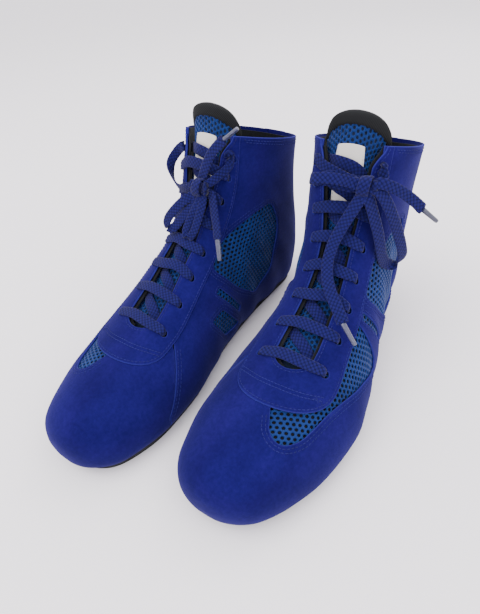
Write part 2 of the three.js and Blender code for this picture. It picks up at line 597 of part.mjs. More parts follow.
function aglet([from, to]) {
  const path = new THREE.LineCurve3(local(from), local(to));
  const shape = new THREE.Shape(Array.from({ length: 8 }, (_, k) => new THREE.Vector2(
    AGLET_RADIUS * Math.cos((k * Math.PI) / 4), AGLET_RADIUS * Math.sin((k * Math.PI) / 4))));
  return toSolid(new THREE.ExtrudeGeometry(shape, { steps: 1, bevelEnabled: false, extrudePath: path }));
}

function knotSolid({ at, size }) {
  const geometry = new THREE.SphereGeometry(1, 10, 7);
  const centre = local(at);
  geometry.scale(size[0], size[1], size[2]);
  geometry.translate(centre.x, centre.y, centre.z);
  return toSolid(geometry);
}

function lacePieces(bow) {
  const free = ({ route, flat, width }) => ribbon(freeStops(route, flat, width), FREE_SECTION);
  return {
    lace: ribbon(laceStops(bow.firstSide, bow), HELD_SECTION),
    knot: knotSolid(bow.knot),
    loop_a: free(bow.loop_a),
    loop_b: free(bow.loop_b),
    tail_a: free(bow.tail_a),
    tail_b: free(bow.tail_b),
    aglet_a: aglet(bow.aglet_a),
    aglet_b: aglet(bow.aglet_b),
  };
}

// ---- materials ----
const FINISHES = {
  suede: [0x1d2596, 0.9],
  mesh: [0x2a4f9e, 0.85],
  stiffener: [0xb9b2a4, 0.8],
  lining: [0x22262f, 0.95],
  foam: [0xd8d4c4, 0.95],
  rubber: [0x17181b, 0.75],
  board: [0xc9c2b0, 0.9],
  binding: [0x2c2e33, 0.85],
  label: [0xe4e1dc, 0.7],
  lace: [0x2b379f, 0.85],
  aglet: [0x5b62a8, 0.3],
};
const FINISH_OF = {
  toe_piece: 'suede', facing: 'suede', quarter_lateral: 'suede', quarter_medial: 'suede', backstay: 'suede',
  vamp_mesh_lateral: 'mesh', vamp_mesh_medial: 'mesh', ankle_mesh_lateral: 'mesh', ankle_mesh_medial: 'mesh',
  toe_puff: 'stiffener', heel_counter: 'stiffener', lining_lateral: 'lining', lining_medial: 'lining',
  outsole: 'rubber', lasting_board: 'board', sockliner: 'lining',
  tongue_mesh: 'mesh', tongue_foam: 'foam', tongue_lining: 'lining', tongue_binding: 'binding',
  tongue_label: 'label',
  lace: 'lace', knot: 'lace', loop_a: 'lace', loop_b: 'lace', tail_a: 'lace', tail_b: 'lace',
  aglet_a: 'aglet', aglet_b: 'aglet',
};

function material(piece) {
  const [color, roughness] = FINISHES[FINISH_OF[piece]];
  return new THREE.MeshStandardMaterial({ color, roughness, metalness: 0 });
}

// ---- assembly ----
function mirrored(geometry) {
  const copy = geometry.clone();
  copy.scale(-1, 1, 1);
  const position = copy.attributes.position;
  for (let k = 0; k < position.count; k += 3) {
    const second = new THREE.Vector3().fromBufferAttribute(position, k + 1);
    const third = new THREE.Vector3().fromBufferAttribute(position, k + 2);
    position.setXYZ(k + 1, third.x, third.y, third.z);
    position.setXYZ(k + 2, second.x, second.y, second.z);
  }
  copy.computeVertexNormals();
  return copy;
}

const pair = new THREE.Group();
const shared = { ...bottomPieces(), ...suedePieces(), ...middlePieces(), ...liningPieces(), ...tonguePieces() };

for (const [name, side] of [['left', 1], ['right', -1]]) {
  const boot = new THREE.Group();
  boot.position.set((side * BOOT_SPACING) / 2 + PAIR_SHIFT[0], (side * BOOT_STAGGER) / 2 + PAIR_SHIFT[1], 0);
  boot.rotation.z = side * TOE_OUT;
  for (const [piece, solid] of Object.entries({ ...shared, ...lacePieces(BOWS[name]) })) {
    const geometry = toGeometry(solid);
    const mesh = new THREE.Mesh(side > 0 ? geometry : mirrored(geometry), material(piece));
    mesh.name = `${name}_${piece}`;
    boot.add(mesh);
  }
  pair.add(boot);
}

export default pair;
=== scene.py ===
# A pair of lace-up boxing boots: suede pieces over hexagonal air mesh, padded tongues, flat braided
# laces tied in bows, thin studded rubber soles. Shapes are worked out in millimetres in each boot's
# own measures (x to the outer side, s forward from the heel, z up), then placed in the frame.
import math

import bpy
import numpy as np
from mathutils import Matrix, Vector
from mathutils.geometry import delaunay_2d_cdt
from mathutils.kdtree import KDTree


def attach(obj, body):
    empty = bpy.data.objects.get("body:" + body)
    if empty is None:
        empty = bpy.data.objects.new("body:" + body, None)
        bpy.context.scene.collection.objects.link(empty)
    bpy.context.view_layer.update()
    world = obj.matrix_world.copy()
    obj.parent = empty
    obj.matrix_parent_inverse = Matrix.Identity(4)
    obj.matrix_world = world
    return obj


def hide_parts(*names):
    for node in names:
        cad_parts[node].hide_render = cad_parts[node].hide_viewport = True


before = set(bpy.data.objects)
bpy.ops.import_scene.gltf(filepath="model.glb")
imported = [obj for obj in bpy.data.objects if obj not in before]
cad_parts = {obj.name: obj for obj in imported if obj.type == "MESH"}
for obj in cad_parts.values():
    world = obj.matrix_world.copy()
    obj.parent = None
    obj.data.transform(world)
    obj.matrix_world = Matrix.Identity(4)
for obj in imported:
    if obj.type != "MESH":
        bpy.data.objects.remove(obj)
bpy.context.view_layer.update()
MM = 0.001

# ---- driving dimensions, as the part has them ----
BOOT_SPACING = 107.6
BOOT_STAGGER = 18.4
TOE_OUT = math.radians(3.4)
PAIR_SHIFT_Y = -6.3
HEEL_TO_MIDDLE = 150
SOLE_LINE_Z = 3.7               # height at which the upper leaves the sole
COLLAR_FRONT = 168
COLLAR_DROP = 0.28
COLLAR_TOP_S = 98

# The last from the toe tip to above the collar: front (or top) s, z; back (or bottom) s, z; half
# width; centre shift to the outer side; share of the depth at which the section is widest.
SECTIONS = np.array([
    [288, 20, 288, 20, 0, -8.5, 0.5],
    [286, 30, 286, 10, 13, -8.5, 0.45],
    [280, 38, 280, 4, 25, -8.5, 0.42],
    [269, 43.5, 269, -2, 34, -8, 0.4],
    [254, 47, 254, -5, 41, -6, 0.38],
    [235, 50, 235, -6, 47, -3.5, 0.36],
    [213, 54, 213, -6, 50, -0.5, 0.34],
    [190, 61, 190, -6, 50.5, 2, 0.32],
    [168, 72, 165, -6, 47, 3.5, 0.32],
    [149, 84, 138, -6, 42.5, 4.5, 0.34],
    [133, 97, 108, -6, 39, 4, 0.38],
    [121, 114, 76, -6, 37, 3, 0.45],
    [113, 131, 42, -6, 36, 1.5, 0.5],
    [108, 147, 12, -4, 35.5, 0.5, 0.55],
    [105, 159, 1, 20, 35, 0, 0.58],
    [103, 167, -1, 48, 35, 0, 0.58],
    [102, 173, 4, 78, 35.5, 0, 0.56],
    [101, 179, 7, 108, 36.5, 0, 0.54],
    [100, 186, 7, 136, 37.5, 0, 0.52],
    [99, 194, 5, 160, 38.5, 0, 0.5],
    [98, 203, 3, 182, 39, 0, 0.5],
])
LAST_SECTION = len(SECTIONS) - 1

# layers, measured outwards from the last
FLAT_SUEDE = (0.0, -1.3)
TOP_SUEDE = (1.0, -0.2)
MESH_CREST = -1.5
LINING_NEAR_THROAT = -1.55
LINING_DEEP = -3.0
LINING_THICKNESS = 0.8
TONGUE_MIDDLE = -9.2
TONGUE_HALF = 2.6
TONGUE_CROWN = 1.3
STIFFENER = (-1.7, -2.6)

SIDES = (("left", 1), ("right", -1))


# ---- the last ----
def last_point(t, v):
    """Points of the outer face at section t and girth position v, in x, y, z millimetres."""
    t, v = np.broadcast_arrays(np.asarray(t, float), np.asarray(v, float))
    clamped = np.clip(t, 0, LAST_SECTION - 1e-6)
    index = np.floor(clamped).astype(int)
    f = (clamped - index)[..., None]
    before, here, after, beyond = (
        SECTIONS[np.clip(index + k, 0, LAST_SECTION)] for k in (-1, 0, 1, 2))
    row = 0.5 * (2 * here + (after - before) * f
                 + (2 * before - 5 * here + 4 * after - beyond) * f ** 2
                 + (3 * here - before - 3 * after + beyond) * f ** 3)
    front_s, front_z, back_s, back_z, half_width, centre, widest = np.moveaxis(row, -1, 0)
    cosine, sine = np.cos(np.pi * v), np.sin(np.pi * v)
    top = 2 + 0.45 * np.exp(-(((t - 13.5) / 2.2) ** 2))
    bottom = 2.3 + 0.45 * np.exp(-(((t - 12.5) / 3) ** 2))
    roundness = np.where(cosine >= 0, top, bottom)
    along = np.abs(cosine) ** (2 / roundness)
    depth = np.where(cosine >= 0, widest + (1 - widest) * along, widest * (1 - along))
    across = np.sign(sine) * np.abs(sine) ** (2 / roundness)
    return np.stack([centre + half_width * across,
                     HEEL_TO_MIDDLE - (back_s + (front_s - back_s) * depth),
                     back_z + (front_z - back_z) * depth], axis=-1)


def unit(vectors):
    """The vectors at length one."""
    return vectors / np.maximum(np.linalg.norm(vectors, axis=-1, keepdims=True), 1e-9)


def left_of(tangent):
    """Flat directions turned a quarter to the left."""
    return np.stack([-tangent[:, 1], tangent[:, 0]], axis=1)


def signed_area(loop):
    """Twice the area of a flat loop, positive when it runs anticlockwise."""
    following = np.roll(loop, -1, axis=0)
    return np.sum(loop[:, 0] * following[:, 1] - following[:, 0] * loop[:, 1])


def run_length(points):
    """The distance run at each point of a polyline."""
    return np.concatenate([[0], np.cumsum(np.linalg.norm(np.diff(points, axis=0), axis=1))])


def ring_faces(rings, sides, ends_joined=False):
    """Faces between rings of points, one ring after another, with the ends closed or joined."""
    at = lambda i, j: (i % rings) * sides + j % sides
    bands = rings if ends_joined else rings - 1
    faces = [(at(i, j), at(i, j + 1), at(i + 1, j + 1), at(i + 1, j))
             for i in range(bands) for j in range(sides)]
    if not ends_joined:
        faces.append(tuple(at(0, j) for j in reversed(range(sides))))
        faces.append(tuple(at(rings - 1, j) for j in range(sides)))
    return faces


def face_normal(t, v):
    """The last's outward direction at (t, v)."""
    t, v = np.broadcast_arrays(np.asarray(t, float), np.asarray(v, float))
    along_t = last_point(t + 0.04, v) - last_point(np.maximum(t - 0.04, 0), v)
    along_v = last_point(t, v + 0.01) - last_point(t, v - 0.01)
    normal = unit(np.cross(along_v, along_t))
    return np.where((t < 0.05)[..., None], [0.0, -1.0, 0.0], normal)


def drape(t, v):
    """Soft unevenness of worn suede: folds at the ankle's bend, slight waves elsewhere."""
    ankle = np.exp(-(((t - 10.6) / 2.4) ** 2)) * np.clip((np.abs(v) - 0.25) / 0.2, 0, 1)
    folds = 0.9 * ankle * np.sin(5.2 * t + 6.0 * np.abs(v) + 0.8 * np.sign(v))
    waves = 0.22 * np.sin(1.9 * t + 7.0 * v + 0.6) * np.sin(1.1 * t - 5.0 * v)
    shaft = 0.35 * np.clip((t - 13) / 3, 0, 1) * np.sin(9.0 * v + 0.7 * t)
    return folds + waves * np.clip(t / 2, 0, 1) + shaft


def face_point(t, v, offset=0.0):
    """Points offset from the last, with the unevenness of worn suede."""
    offset = np.asarray(offset, float) + drape(np.asarray(t, float), np.asarray(v, float))
    return last_point(t, v) + face_normal(t, v) * np.expand_dims(np.broadcast_to(offset, np.shape(t)), -1)


def collar_z(s):
    """The collar's height at s, lower towards the heel."""
    return COLLAR_FRONT - COLLAR_DROP * (COLLAR_TOP_S - s)


def halving(low, high, is_low, steps=26):
    """The place between low and high where is_low stops being true, for arrays."""
    low, high = np.asarray(low, float).copy(), np.asarray(high, float).copy()
    for _ in range(steps):
        middle = (low + high) / 2
        keep = is_low(middle)
        low, high = np.where(keep, middle, low), np.where(keep, high, middle)
    return low


def sole_v(t, z=SOLE_LINE_Z, offset=0.0):
    """The girth position where the upper meets the sole at section t."""
    t = np.asarray(t, float)
    height = lambda v: (last_point(t, v) + face_normal(t, v) * offset)[..., 2]
    return halving(np.full(t.shape, 0.4), np.ones(t.shape), lambda v: height(v) > z)


def collar_t(v):
    """The section where the upper meets the collar line at girth position v."""
    v = np.asarray(v, float)
    below = lambda t: (lambda p: p[..., 2] < collar_z(HEEL_TO_MIDDLE - p[..., 1]))(last_point(t, v))
    return halving(np.full(v.shape, 10.0), np.full(v.shape, 19.99), below)


def side_grid():
    """Places on the outer side, with a tree of their (s, z)."""
    t, v = (g.ravel() for g in np.meshgrid(np.linspace(5, 19.5, 146), np.linspace(0.06, 0.94, 89),
                                           indexing="ij"))
    grid = last_point(t, v)
    tree = KDTree(len(t))
    for k, p in enumerate(grid):
        tree.insert((HEEL_TO_MIDDLE - p[1], p[2], 0), k)
    tree.balance()
    return np.stack([t, v], axis=1), tree


SIDE_PLACES, SIDE_TREE = side_grid()


def side_view(tv):
    """Places on the last as (s, z) seen from the side."""
    point = last_point(tv[:, 0], tv[:, 1])
    return np.stack([HEEL_TO_MIDDLE - point[:, 1], point[:, 2]], axis=1)


def from_side(points):
    """(t, v) on the outer side of points given as (s, z) seen from the side."""
    points = np.asarray(points, float)
    guess = SIDE_PLACES[[SIDE_TREE.find((s, z, 0))[1] for s, z in points]]
    for _ in range(5):
        here = side_view(guess)
        by_t = (side_view(guess + [0.01, 0]) - here) / 0.01
        by_v = (side_view(guess + [0, 0.002]) - here) / 0.002
        miss = points - here
        size = by_t[:, 0] * by_v[:, 1] - by_t[:, 1] * by_v[:, 0]
        size = np.where(np.abs(size) < 40, 40 * np.sign(size), size)
        step_t = (miss[:, 0] * by_v[:, 1] - miss[:, 1] * by_v[:, 0]) / size
        step_v = (by_t[:, 0] * miss[:, 1] - by_t[:, 1] * miss[:, 0]) / size
        guess = guess + np.stack([np.clip(step_t, -0.3, 0.3), np.clip(step_v, -0.05, 0.05)], axis=1)
    return guess


# ---- outlines, as (t, v) ----
def smooth(points, closed=False, steps=8):
    """A Catmull-Rom curve through points."""
    points = np.asarray(points, float)
    n = len(points)
    out = []
    for i in range(n if closed else n - 1):
        if closed:
            a, b, c, d = (points[(i + k) % n] for k in (-1, 0, 1, 2))
        else:
            a, b, c, d = (points[min(max(i + k, 0), n - 1)] for k in (-1, 0, 1, 2))
        for f in np.arange(steps) / steps:
            out.append(0.5 * (2 * b + (c - a) * f + (2 * a - 5 * b + 4 * c - d) * f * f
                              + (3 * b - a - 3 * c + d) * f ** 3))
    if not closed:
        out.append(points[-1])
    return np.array(out)


def rounded(points, share=0.3):
    """A closed outline with its corners cut round."""
    points = np.asarray(points, float)
    out = []
    for i, corner in enumerate(points):
        before, after = points[i - 1], points[(i + 1) % len(points)]
        start, end = corner + (before - corner) * share, corner + (after - corner) * share
        for f in (0, 0.25, 0.5, 0.75, 1):
            out.append((1 - f) ** 2 * start + 2 * f * (1 - f) * corner + f * f * end)
    return np.array(out)


FACING_HALF = 0.22
FACING_BEND = 6.6
FACING_REACH = 1.2
THROAT_BOTTOM = 6.62
THROAT_BEND = 0.55


def facing_edge(inset=0.0):
    """The facing's outer edge from the lateral collar round below the throat to the medial one."""
    straight = np.linspace(14, 7.4, 9)
    half = lambda t: FACING_HALF + 0.002 * (t - 7.4) - inset
    top = float(collar_t(half(18)))
    lateral = [(top, half(top))] + [(t, half(t)) for t in np.linspace(17.5, 14.5, 3)]
    lateral += [(t, half(t)) for t in straight]
    angles = np.linspace(0, math.pi, 17)
    reach = FACING_REACH - inset * 9
    bend = [(FACING_BEND - reach * math.sin(a), 0.01 + (FACING_HALF - inset) * math.cos(a)) for a in angles]
    medial = [(t, -v) for t, v in reversed(lateral)]
    return np.array(lateral + bend + medial)


def throat_half(t):
    """Half of the throat's width at section t, in girth."""
    return np.where(t < 11, 0.085, np.where(t < 14, 0.085 + 0.04 * (t - 11) / 3,
                                            np.minimum(0.125 + 0.04 * (t - 14), 0.2)))


def throat_edge(inset=0.0):
    """The throat's edge from the medial collar round its bottom to the lateral collar."""
    half = lambda t: float(throat_half(t)) - inset
    top = float(collar_t(half(18.0)))
    side = [(t, half(t)) for t in (17.5, 16.5, 15.5, 14.8, 14, 13, 12, 11, 10, 9, 8, 7.4)]
    side = [(top, half(top))] + [p for p in side if p[0] < top - 0.2]
    angles = np.linspace(0, math.pi, 13)[1:-1]
    bend = [(THROAT_BOTTOM + inset * 6 + THROAT_BEND * (1 - math.sin(a)), half(7.0) * math.cos(a))
            for a in angles]
    medial = [(t, -v) for t, v in side]
    return np.array(medial + [(t, -v) for t, v in bend] + list(reversed(side)))


WINDOW_LOWER = [(5.42, 0.035), (5.1, 0.062), (4.8, 0.09), (4.62, 0.13), (4.62, 0.17), (4.8, 0.2),
                (5.1, 0.222), (5.42, 0.23), (5.8, 0.238), (6.2, 0.25), (6.9, 0.29), (8, 0.385),
                (8.64, 0.44)]
SEAM_FOOT = 5.4                 # the section where the medial seam meets the sole
MEDIAL_SEAM = [(SEAM_FOOT, -0.47), (6.2, -0.335), (6.8, -0.235)]
SEAM_GAP = 0.02                 # in sections
QUARTER_FRONT = 8.64
WINDOW_END = 8.85
BACKSTAY_EDGE = 0.93
ANKLE_WINDOW = [(131, 79), (126, 68), (112, 50), (92, 36), (74, 45), (62, 70), (61, 95), (72, 109),
                (96, 105), (118, 94)]
LATERAL_SLOT = [(141.5, 72), (145.5, 68), (131, 40), (126.5, 43)]
MEDIAL_SLOT = [(135, 64), (139.5, 61), (120.5, 32), (116, 35)]
MEDIAL_VAMP_WINDOW = [(155, 46), (139, 47), (123, 23), (143, 24)]
UNDER = 0.035                   # how far the flat suede runs under the facing, in girth


def dense(points, steps=10):
    """A polyline with a place every tenth of each leg."""
    legs = [np.linspace(a, b, steps, endpoint=False) for a, b in zip(points, points[1:])]
    return np.vstack([*legs, points[-1:]])


def medial(points):
    """(t, v) points mirrored to the inner side."""
    points = np.array(points, float)
    points[:, 1] *= -1
    return points


def sole_line(start, end, count, side=1):
    """The line where the upper meets the sole, from one section to another."""
    t = np.linspace(start, end, count)
    return np.stack([t, side * sole_v(t)], axis=1)


SOLE_TIP = float(halving(0.3, 4.0, lambda t: last_point(t, 1.0)[..., 2] > SOLE_LINE_Z))
HEEL_TIP = float(halving(12.0, 15.0, lambda t: last_point(t, 1.0)[..., 2] < SOLE_LINE_Z))


def heel_section(v, z=SOLE_LINE_Z, offset=0.0):
    """The section where girth position v leaves the sole at the heel."""
    return halving(11.0, 13.8, lambda t: sole_v(t, z, offset) < v)


def toe_outline():
    """Toe piece: the sole line round the front, the medial seam, under the facing, the window."""
    lateral_sole = sole_line(QUARTER_FRONT, SOLE_TIP + 0.15, 40)
    seam_v = np.linspace(WINDOW_LOWER[-1][1], lateral_sole[0, 1], 16)[1:-1]
    lateral_seam = [(QUARTER_FRONT, v) for v in seam_v]
    medial_sole = sole_line(SOLE_TIP + 0.15, SEAM_FOOT, 30, -1)
    edge = facing_edge(UNDER)
    bend = edge[(edge[:, 0] < 6.9) & (edge[:, 1] < 0.03)]
    foot = [(SEAM_FOOT, v) for v in np.linspace(medial_sole[-1, 1], MEDIAL_SEAM[0][1], 12)[1:-1]]
    return np.vstack([lateral_sole, [(SOLE_TIP, 1.0)], medial_sole, foot, dense(MEDIAL_SEAM),
                      [(7.0, -FACING_HALF + UNDER)],
                      bend[np.argsort(bend[:, 1])], smooth(WINDOW_LOWER, steps=6), lateral_seam])


def quarter_outline(lateral):
    """One quarter: along the sole, up the backstay, the collar, down under the facing."""
    under = BACKSTAY_EDGE + 0.02
    heel_t = float(heel_section(under))
    front = QUARTER_FRONT if lateral else SEAM_FOOT + SEAM_GAP
    sole = sole_line(front, heel_t, 40)
    top = float(collar_t(under))
    back = [(t, under) for t in np.linspace(heel_t, top, 16)[1:-1]]
    collar_v = np.linspace(under, FACING_HALF - UNDER, 30)
    collar = np.stack([collar_t(collar_v), collar_v], axis=1)
    edge_end = WINDOW_END if lateral else 7.1
    hidden = [(t, FACING_HALF - UNDER) for t in np.linspace(17, edge_end, 10)]
    if lateral:
        front_edge = [(WINDOW_END, 0.3), (WINDOW_END, 0.42), (QUARTER_FRONT + SEAM_GAP, 0.46)]
        foot = [(QUARTER_FRONT + SEAM_GAP, v) for v in np.linspace(0.46, sole[0, 1], 16)[1:-1]]
        return np.vstack([sole, back, collar, hidden, front_edge, foot])
    seam = dense(MEDIAL_SEAM)[::-1] * [1, -1] + [SEAM_GAP, 0]
    foot = [(SEAM_FOOT + SEAM_GAP, v) for v in np.linspace(seam[-1, 1], sole[0, 1], 12)[1:-1]]
    return medial(np.vstack([sole, back, collar, hidden, seam, foot]))


def backstay_outline():
    """The strip up the heel, symmetric about its middle."""
    heel_t = float(heel_section(BACKSTAY_EDGE))
    side = [(t, BACKSTAY_EDGE) for t in np.linspace(heel_t, float(collar_t(BACKSTAY_EDGE)), 18)]
    collar_v = np.linspace(BACKSTAY_EDGE, 2 - BACKSTAY_EDGE, 9)[1:-1]
    collar = [(float(collar_t(v)), v) for v in collar_v]
    other = [(t, 2 - v) for t, v in reversed(side)]
    return np.vstack([side, collar, other, [(HEEL_TIP, 1.0)]])


def facing_outline():
    """The facing: a band between its outer edge and the throat."""
    return np.vstack([facing_edge(), throat_edge()])


def lining_outline(side):
    """Half of the lining, from the toe box to the collar, up to the throat's edge."""
    heel_t = float(heel_section(0.995, 5.5, -3.5))
    t = np.linspace(3.0, heel_t, 40)
    sole = np.stack([t, sole_v(t, 5.5, -3.5)], axis=1)
    top = float(collar_t(1.0)) - 0.12
    back = [(t, 0.999) for t in np.linspace(heel_t, top, 14)[1:]]
    edge = throat_edge(0.012)
    edge = edge[edge[:, 1] > 0.001][::-1]
    collar_v = np.linspace(0.999, edge[0, 1], 30)
    collar = np.stack([collar_t(collar_v) - 0.12, collar_v], axis=1)
    middle = [(6.5, 0.001), (4.7, 0.001), (3.0, 0.001)]
    outline = np.vstack([sole, back, collar[1:-1], edge, middle])
    return outline if side > 0 else medial(outline)


# ---- flat domains for meshing: millimetres, roughly true to the surface ----
STRIP_SCALE = np.array([17.0, 125.0])   # millimetres of a section and of half the girth
DISC_SCALE = 12.0                       # millimetres of a section about the toe's tip


def to_strip(tv):
    """(t, v) laid flat, sections along and girth across."""
    return tv * STRIP_SCALE


def from_strip(points):
    """Flat points of the strip back to (t, v)."""
    return points / STRIP_SCALE


def to_disc(tv):
    """Round the toe's tip, where a strip would pinch."""
    radius, angle = DISC_SCALE * tv[:, 0], np.pi * tv[:, 1]
    return np.stack([radius * np.sin(angle), -radius * np.cos(angle)], axis=1)


def from_disc(points):
    """Flat points of the disc back to (t, v)."""
    radius = np.hypot(points[:, 0], points[:, 1])
    return np.stack([radius / DISC_SCALE, np.arctan2(points[:, 0], -points[:, 1]) / np.pi], axis=1)


# each domain: to the flat, back from it, and the spacing of its grid
STRIP = (to_strip, from_strip, 2.4)
DISC = (to_disc, from_disc, 1.6)


def inside(points, loop):
    """Which points lie inside a closed loop."""
    result = np.zeros(len(points), bool)
    x, y = points[:, 0], points[:, 1]
    for (x0, y0), (x1, y1) in zip(loop, np.roll(loop, -1, axis=0)):
        if y0 == y1:
            continue
        crosses = (y0 > y) != (y1 > y)
        result ^= crosses & (x < (x1 - x0) * (y - y0) / (y1 - y0) + x0)
    return result


def resample(loop, domain, step):
    """A closed loop in the domain with a point every step millimetres of the surface."""
    to_flat, from_flat, _ = domain
    flat = to_flat(loop)
    keep = np.linalg.norm(flat - np.roll(flat, -1, axis=0), axis=1) > 1e-4
    flat = flat[keep]
    out = []
    for a, b in zip(flat, np.roll(flat, -1, axis=0)):
        ends = last_point(*from_flat(np.array([a, b])).T)
        count = max(1, int(round(np.linalg.norm(ends[1] - ends[0]) / step)))
        for k in range(count):
            out.append(a + (b - a) * k / count)
    return np.array(out)


def shifted(flat_loop, domain, distance):
    """A loop moved to its left by distance millimetres of the surface."""
    _, from_flat, _ = domain
    normal = left_of(unit(np.roll(flat_loop, -1, axis=0) - np.roll(flat_loop, 1, axis=0)))
    here = last_point(*from_flat(flat_loop).T)
    there = last_point(*from_flat(flat_loop + normal * 0.2).T)
    scale = np.linalg.norm(there - here, axis=1, keepdims=True) / 0.2
    return flat_loop + normal * distance / np.maximum(scale, 0.2)


RING_DEPTHS = (0.18, 0.5, 1.1, 2.0)     # rings of points that follow the border
RING_CLEARANCE = 0.8                    # share of its depth that a ring keeps from the border
GRID_CLEARANCE = 0.9                    # millimetres between the last ring and the grid
HOLE_STEP = 0.9
ROW_SHARE = 0.87                        # spacing of staggered rows against that of their places
EDGE_BAND = 0.6                         # width of the paler cut edge


def outline_loops(outline, holes, domain, step):
    """The outline and its holes as flat loops, each with the skin on its left."""
    loops = []
    for k, tv in enumerate([outline, *holes]):
        loop = resample(np.asarray(tv, float), domain, step if k == 0 else min(step, HOLE_STEP))
        skin_on_left = (signed_area(loop) > 0) == (k == 0)
        loops.append(loop if skin_on_left else loop[::-1])
    return loops


def within(flat, loops):
    """Which flat points lie inside the first loop and outside the others."""
    result = inside(flat, loops[0])
    for hole in loops[1:]:
        result &= ~inside(flat, hole)
    return result


def distance_to(loops, domain):
    """A function that measures how far flat points are from the loops, on the last."""
    from_flat = domain[1]
    border = last_point(*from_flat(np.vstack(loops)).T)
    tree = KDTree(len(border))
    for k, p in enumerate(border):
        tree.insert(p, k)
    tree.balance()
    return lambda flat: np.array([tree.find(p)[2] for p in last_point(*from_flat(flat).T)])


def staggered_grid(low, high, spacing):
    """Places in staggered rows over a flat rectangle."""
    rows = np.arange(low[1], high[1], spacing * ROW_SHARE)
    return np.array([(x + (spacing / 2 if j % 2 else 0), y) for j, y in enumerate(rows)
                     for x in np.arange(low[0], high[0], spacing)])


def flat_places(loops, domain, away):
    """The flat points to mesh: the loops, rings that follow them, and a grid in the middle."""
    places = list(loops)
    for depth in RING_DEPTHS:
        ring = np.vstack([shifted(loop, domain, depth) for loop in loops])
        ring = ring[within(ring, loops)]
        if len(ring):
            places.append(ring[away(ring) > depth * RING_CLEARANCE])
    grid = staggered_grid(loops[0].min(axis=0), loops[0].max(axis=0), domain[2])
    grid = grid[within(grid, loops)]
    if len(grid):
        places.append(grid[away(grid) > RING_DEPTHS[-1] + GRID_CLEARANCE])
    return np.vstack(places)


def triangulated(flat, loops):
    """Triangles over flat points that begin with those of the loops."""
    edges, start = [], 0
    for loop in loops:
        n = len(loop)
        edges += [(start + k, start + (k + 1) % n) for k in range(n)]
        start += n
    result = delaunay_2d_cdt([Vector(p) for p in flat], edges, [], 0, 1e-7)
    flat = np.array([tuple(p) for p in result[0]])
    triangles = np.array([tuple(f) for f in result[2] if len(f) == 3])
    triangles = triangles[within(flat[triangles].mean(axis=1), loops)]
    used = np.unique(triangles)
    renumber = np.full(len(flat), -1)
    renumber[used] = np.arange(len(used))
    return flat[used], renumber[triangles]


def rim_of(triangles):
    """The directed edges that have a triangle on one side only."""
    directed = np.vstack([triangles[:, [0, 1]], triangles[:, [1, 2]], triangles[:, [2, 0]]])
    edges = {tuple(e) for e in directed.tolist()}
    return [(a, b) for a, b in edges if (b, a) not in edges]


def panel(outline, holes=(), domain=STRIP, offsets=FLAT_SUEDE, radius=0.55, step=1.3, pillow=None):
    """A closed skin over an outline in (t, v) with holes. offsets are the outer and inner faces as
    numbers or functions of (t, v). The cut edge is rounded by radius. pillow = (half thickness,
    reach) swells it from its edge about the middle of its offsets instead."""
    loops = outline_loops(outline, holes, domain, step)
    away = distance_to(loops, domain)
    flat, triangles = triangulated(flat_places(loops, domain, away), loops)
    t, v = domain[1](flat).T
    outer, inner = (face(t, v) if callable(face) else np.full(len(t), float(face)) for face in offsets)
    distance = away(flat)
    if pillow:
        half, reach = pillow
        share = np.clip(distance / reach, 0, 1)
        swell = np.sqrt(1 - (1 - share) ** 2) * 0.94 + 0.06
        middle = (outer + inner) / 2
        outer = middle + (outer - middle) * swell
        inner = middle - half * swell
    else:
        dip = np.clip(1 - distance / radius, 0, 1)
        outer = outer - radius * (1 - np.sqrt(1 - dip ** 2))
    top, under = face_point(t, v, outer), face_point(t, v, inner)
    a, b, c = (top[triangles[:, k]] for k in range(3))
    if np.median(np.sum(np.cross(b - a, c - a) * face_normal(t, v)[triangles[:, 0]], axis=1)) < 0:
        triangles = triangles[:, ::-1]
    n = len(t)
    walls = [(b, a, a + n, b + n) for a, b in rim_of(triangles)]
    faces = triangles.tolist() + (triangles[:, ::-1] + n).tolist() + walls
    crowns = np.concatenate([np.clip(distance / EDGE_BAND, 0, 1), np.ones(n)])
    return np.vstack([top, under]), faces, crowns


# ---- pieces ----
def placed(points, side):
    """Boot measures to the frame, in metres."""
    x, y, z = np.asarray(points, float).T
    x = x * side
    angle = side * TOE_OUT
    return np.stack([x * math.cos(angle) - y * math.sin(angle) + side * BOOT_SPACING / 2,
                     x * math.sin(angle) + y * math.cos(angle) + side * BOOT_STAGGER / 2 + PAIR_SHIFT_Y,
                     z], axis=1) * MM


def add_piece(name, geometry, side, body, look, replaced=(), sharp=50):
    """A mesh piece of one boot, riding on its body."""
    points, faces, *crowns = geometry
    if side < 0:
        faces = [tuple(reversed(f)) for f in faces]
    mesh = bpy.data.meshes.new(name)
    mesh.from_pydata(placed(points, side).tolist(), [], faces)
    if crowns:
        mesh.attributes.new("crown", "FLOAT", "POINT").data.foreach_set("value", crowns[0])
    mesh.validate()
    mesh.shade_smooth()
    if sharp:
        mesh.set_sharp_from_angle(angle=math.radians(sharp))
    mesh.materials.append(look)
    piece = bpy.data.objects.new(name, mesh)
    bpy.context.scene.collection.objects.link(piece)
    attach(piece, body)
    if replaced:
        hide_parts(*replaced)
    return piece


def joined(parts):
    """Several (points, faces) as one."""
    points, faces, crowns, start = [], [], [], 0
    for part_points, part_faces, *part_crowns in parts:
        points.append(part_points)
        faces += [tuple(i + start for i in f) for f in part_faces]
        crowns += part_crowns
        start += len(part_points)
    return (np.vstack(points), faces, *([np.concatenate(crowns)] if crowns else []))


